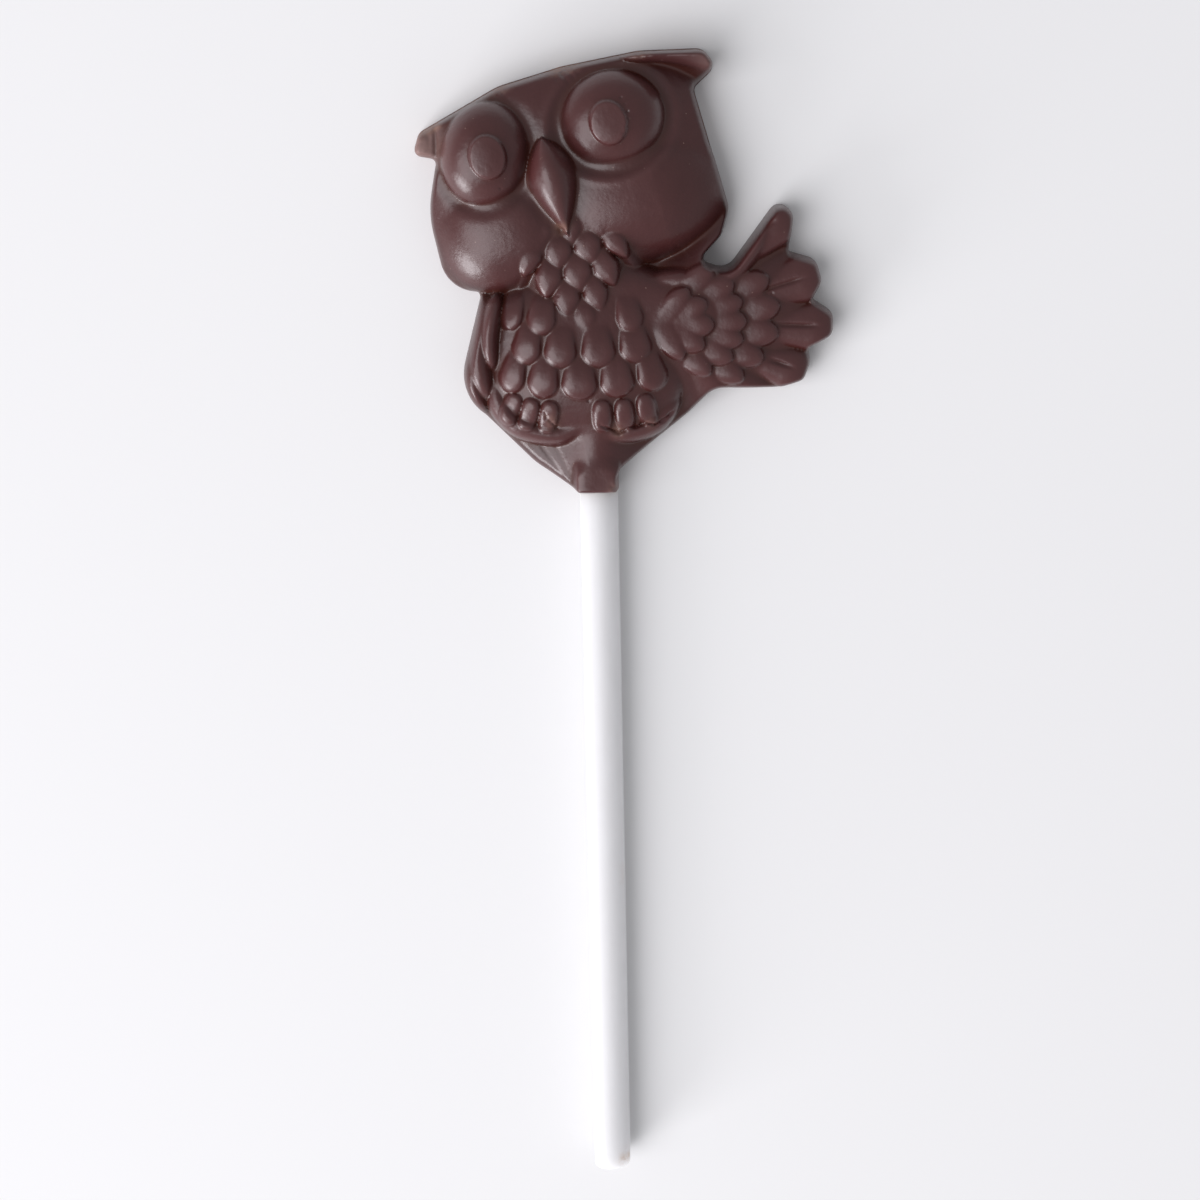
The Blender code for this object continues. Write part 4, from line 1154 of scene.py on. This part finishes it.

# %% [markdown]
# Milk chocolate is a purplish brown under soft light, with a satin skin. It tends to come out too
# orange, so the colours are kept cool, and only the painted shade in the creases is let go warm.
# Specular stays near that of fat and sugar. The roughness carries the look: bloomed and scuffed
# places scatter light.

# %% Chocolate
COCOA = (0.068, 0.0188, 0.0184)
COCOA_DEEP = (0.050, 0.0125, 0.0122)
# Painted shade for wide hollows.
COCOA_SHADED = (0.022, 0.0045, 0.0045)
# Painted highlight for the crests.
COCOA_PAINTED_HIGHLIGHT = (0.083, 0.030, 0.0295)
# Painted shade for the creases, dark and warm.
CREASE_PAINTED_SHADE = (0.050, 0.012, 0.008)
BLOOM = (0.25, 0.152, 0.136)
SCUFF = (0.25, 0.14, 0.105)
DUST = (0.22, 0.135, 0.11)
# Strength of the painted shade and highlight.
PAINTED_LIGHT_STRENGTH = 0.9
DUST_TINT = 0.7
SATIN = 0.29
CHOCOLATE_BUMP = 0.00002
CHOCOLATE_SHARP = 62


def chocolate():
    """Cloudy brown with painted light: warm painted shade in creases, deeper painted shade in wide hollows,
    a paler painted highlight on crests; veiled by bloom and scuffs.
    """
    surface, tree, shader, place = new_material("milk_chocolate")
    clouds = effect(tree, CLOUDS, place, Scale=130.0, Contrast=2.0)
    broken = effect(tree, CLOUDS, place, Scale=420.0, Contrast=4.0)
    dust = effect(tree, SPECKS, place, Scale=1300.0, Size=0.10, Rarity=0.70)
    painted_shade_and_highlight = stored(tree, "painted_shade_and_highlight")
    # Painted highlight on crests and painted shade in creases, from the stored number.
    crest = times(tree, painted_shade_and_highlight, -PAINTED_LIGHT_STRENGTH, clamp=True)
    crease = times(tree, painted_shade_and_highlight, PAINTED_LIGHT_STRENGTH, clamp=True)
    # Painted shade in wide hollows, from the stored number.
    shade = times(tree, stored(tree, "broad_painted_shade"), PAINTED_LIGHT_STRENGTH, clamp=True)
    patchy = plus(tree, times(tree, broken, 0.3), 0.75)
    bloom = times(tree, stored(tree, "bloom"), patchy, clamp=True)
    scuff = times(tree, stored(tree, "scuff"), broken, clamp=True)
    colour = mixed(tree, clouds, COCOA_DEEP, COCOA)
    # The first three tints are painted light and shade; bloom, scuffs and dust are the chocolate's own.
    for factor, tint in ((crest, COCOA_PAINTED_HIGHLIGHT), (shade, COCOA_SHADED), (crease, CREASE_PAINTED_SHADE), (bloom, BLOOM),
                         (scuff, SCUFF), (times(tree, dust, DUST_TINT), DUST)):
        colour = mixed(tree, factor, colour, tint)
    worn = math_node(tree, "MAXIMUM", bloom, scuff)
    rough = plus(tree, times(tree, clouds, 0.08), times(tree, worn, 0.3))
    feed(tree, shader, {"Base Color": colour, "Roughness": plus(tree, rough, SATIN)})
    shader.inputs["IOR"].default_value = 1.47
    shader.inputs["Specular IOR Level"].default_value = 0.6
    height = plus(tree, effect(tree, SKIN, place, Scale=700.0, Grain=0.25), broken)
    bumped(tree, shader, height, CHOCOLATE_BUMP)
    return surface


owl.data.materials.clear()
owl.data.materials.append(chocolate())
shade_smooth(owl, CHOCOLATE_SHARP)
print("chocolate on", owl.name)

# %% [markdown]
# The stick is bleached paper, rolled hard and calendered. It is close to white, with the faintest
# fibre along its length. A tan stain marks its lower end, and cocoa butter has wicked in at the top.

# %% Paper
PAPER = (0.58, 0.58, 0.59)
PAPER_SHADE = (0.56, 0.555, 0.56)
STAIN = (0.36, 0.22, 0.13)
WICKED = (0.62, 0.58, 0.55)
PAPER_GLOW = 0.012
WICK_TINT = 0.8
MATT = 0.58
FIBRE_STRETCH = 0.12
PAPER_BUMP = 0.000012
PAPER_SHARP = 50


def paper():
    """Nearly white, with fibres from a noise that is drawn out along the stick."""
    surface, tree, shader, place = new_material("rolled_paper")
    mapping = tree.nodes.new("ShaderNodeMapping")
    along = feed(tree, mapping, {"Vector": place, "Scale": (1.0, FIBRE_STRETCH, 1.0)}).outputs[0]
    fibres = effect(tree, CLOUDS, along, Scale=1500.0, Contrast=1.5)
    patchy = effect(tree, CLOUDS, place, Scale=900.0, Contrast=3.0)
    stain = times(tree, stored(tree, "stain"), patchy, clamp=True)
    colour = mixed(tree, fibres, PAPER_SHADE, PAPER)
    colour = mixed(tree, times(tree, stored(tree, "cocoa"), WICK_TINT), colour, WICKED)
    rough = plus(tree, times(tree, fibres, 0.12), MATT)
    feed(tree, shader, {"Base Color": mixed(tree, stain, colour, STAIN), "Roughness": rough})
    shader.inputs["Specular IOR Level"].default_value = 0.3
    shader.inputs["Subsurface Weight"].default_value = 0.9
    shader.inputs["Subsurface Radius"].default_value = (1.0, 1.0, 1.0)
    shader.inputs["Subsurface Scale"].default_value = PAPER_GLOW
    bumped(tree, shader, effect(tree, SKIN, along, Scale=2600.0, Grain=0.5), PAPER_BUMP)
    return surface


stick.data.materials.append(paper())
shade_smooth(stick, PAPER_SHARP)
print("paper on", stick.name)

# %% [markdown]
# Each piece now stands for its CAD node, whose own mesh is hidden, and rides on the one body
# of the part.

# %% Pieces and their CAD nodes
for piece, node, finish in ((owl, "chocolate_owl", "chocolate"),
                            (stick, "paper_stick", "stick_paper")):
    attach(piece, "root")
    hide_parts(node)

# %% [markdown]
# The stage is a pale floor under the flat back, wide enough for views from low down. The light is a
# soft studio: an even surround, a large lamp high on the left, and a second one low on the left
# that draws the pale veil on the left side of each form.

# %% Floor and light
FLOOR_HALF = 3.0
FLOOR_DROP = 0.02
FLOOR_COLOUR = (0.84, 0.84, 0.84)
FLOOR_DARKEST = 0.98
SKY_COLOUR = (0.96, 0.965, 1.0)
SKY_STRENGTH = 0.42
LAMP_COLOUR = (0.985, 0.97, 1.0)
LAMPS = (("key", (-0.75, -0.35, 1.05), (0, -0.02, 0), 1.1, 14.0),
         ("side", (-0.95, -0.82, 0.21), (0, 0, 0), 0.6, 14.0))


def floor():
    """Square sheet just under the flat back."""
    corners = np.array([(-1, -1, 0), (1, -1, 0), (1, 1, 0), (-1, 1, 0)], float) * FLOOR_HALF / MM
    corners[:, 2] = -FLOOR_DROP
    sheet = new_piece("floor", corners, [[0, 1, 2, 3]])
    surface, tree, shader, place = new_material("pale_floor")
    tone = effect(tree, CLOUDS, place, Scale=6.0, Contrast=0.4)
    darkest = tuple(FLOOR_DARKEST * c for c in FLOOR_COLOUR)
    tree.links.new(mixed(tree, tone, darkest, FLOOR_COLOUR), shader.inputs["Base Color"])
    shader.inputs["Roughness"].default_value = 0.9
    sheet.data.materials.append(surface)


def lamp(name, place, target, size, power):
    """Square area light at a place in metres, turned to a target."""
    light = bpy.data.lights.new(name, "AREA")
    light.size = size
    light.energy = power
    light.color = LAMP_COLOUR
    obj = new_object(name, light)
    obj.location = place
    obj.rotation_euler = (Vector(target) - Vector(place)).to_track_quat("-Z", "Y").to_euler()


def surround():
    """Even light from all round."""
    world = bpy.data.worlds.new("studio")
    world.use_nodes = True
    backdrop = world.node_tree.nodes["Background"]
    backdrop.inputs["Color"].default_value = (*SKY_COLOUR, 1)
    backdrop.inputs["Strength"].default_value = SKY_STRENGTH
    bpy.context.scene.world = world


floor()
surround()
for row in LAMPS:
    lamp(*row)
bpy.context.scene.view_settings.view_transform = "Standard"

# %% [markdown]
# The camera looks down on the face from the head side. Its lens and place come from how the stick
# narrows toward its end and how its cut end shows: a long lens, leaning 13 degrees from square.

# %% Camera
FRAME_PIXELS = 1200
FOCAL_PIXELS = 2200
SENSOR_WIDTH = 36.0
LEAN = math.radians(13)
ROLL = math.radians(1.2)
AIM = Vector((-0.15, -38.7, 0.0)) * MM
DISTANCE = 268.4 * MM


def camera():
    """Camera on a line that leans from the vertical toward the head, rolled a little."""
    back = Vector((0, math.sin(LEAN), math.cos(LEAN)))
    level_up = Vector((0, math.cos(LEAN), -math.sin(LEAN)))
    level_right = Vector((1, 0, 0))
    right = level_right * math.cos(ROLL) - level_up * math.sin(ROLL)
    up = level_up * math.cos(ROLL) + level_right * math.sin(ROLL)
    lens = bpy.data.cameras.new("photo_view")
    lens.sensor_width = SENSOR_WIDTH
    lens.lens = SENSOR_WIDTH * FOCAL_PIXELS / FRAME_PIXELS
    lens.clip_start = 0.01
    obj = new_object("photo_view", lens)
    turn = Matrix((right, up, back)).transposed().to_4x4()
    obj.matrix_world = Matrix.Translation(AIM + back * DISTANCE) @ turn
    bpy.context.scene.camera = obj
    return obj


view = camera()
print(f"lens {view.data.lens:.1f} mm, {view.location.length / MM:.0f} mm from the origin")
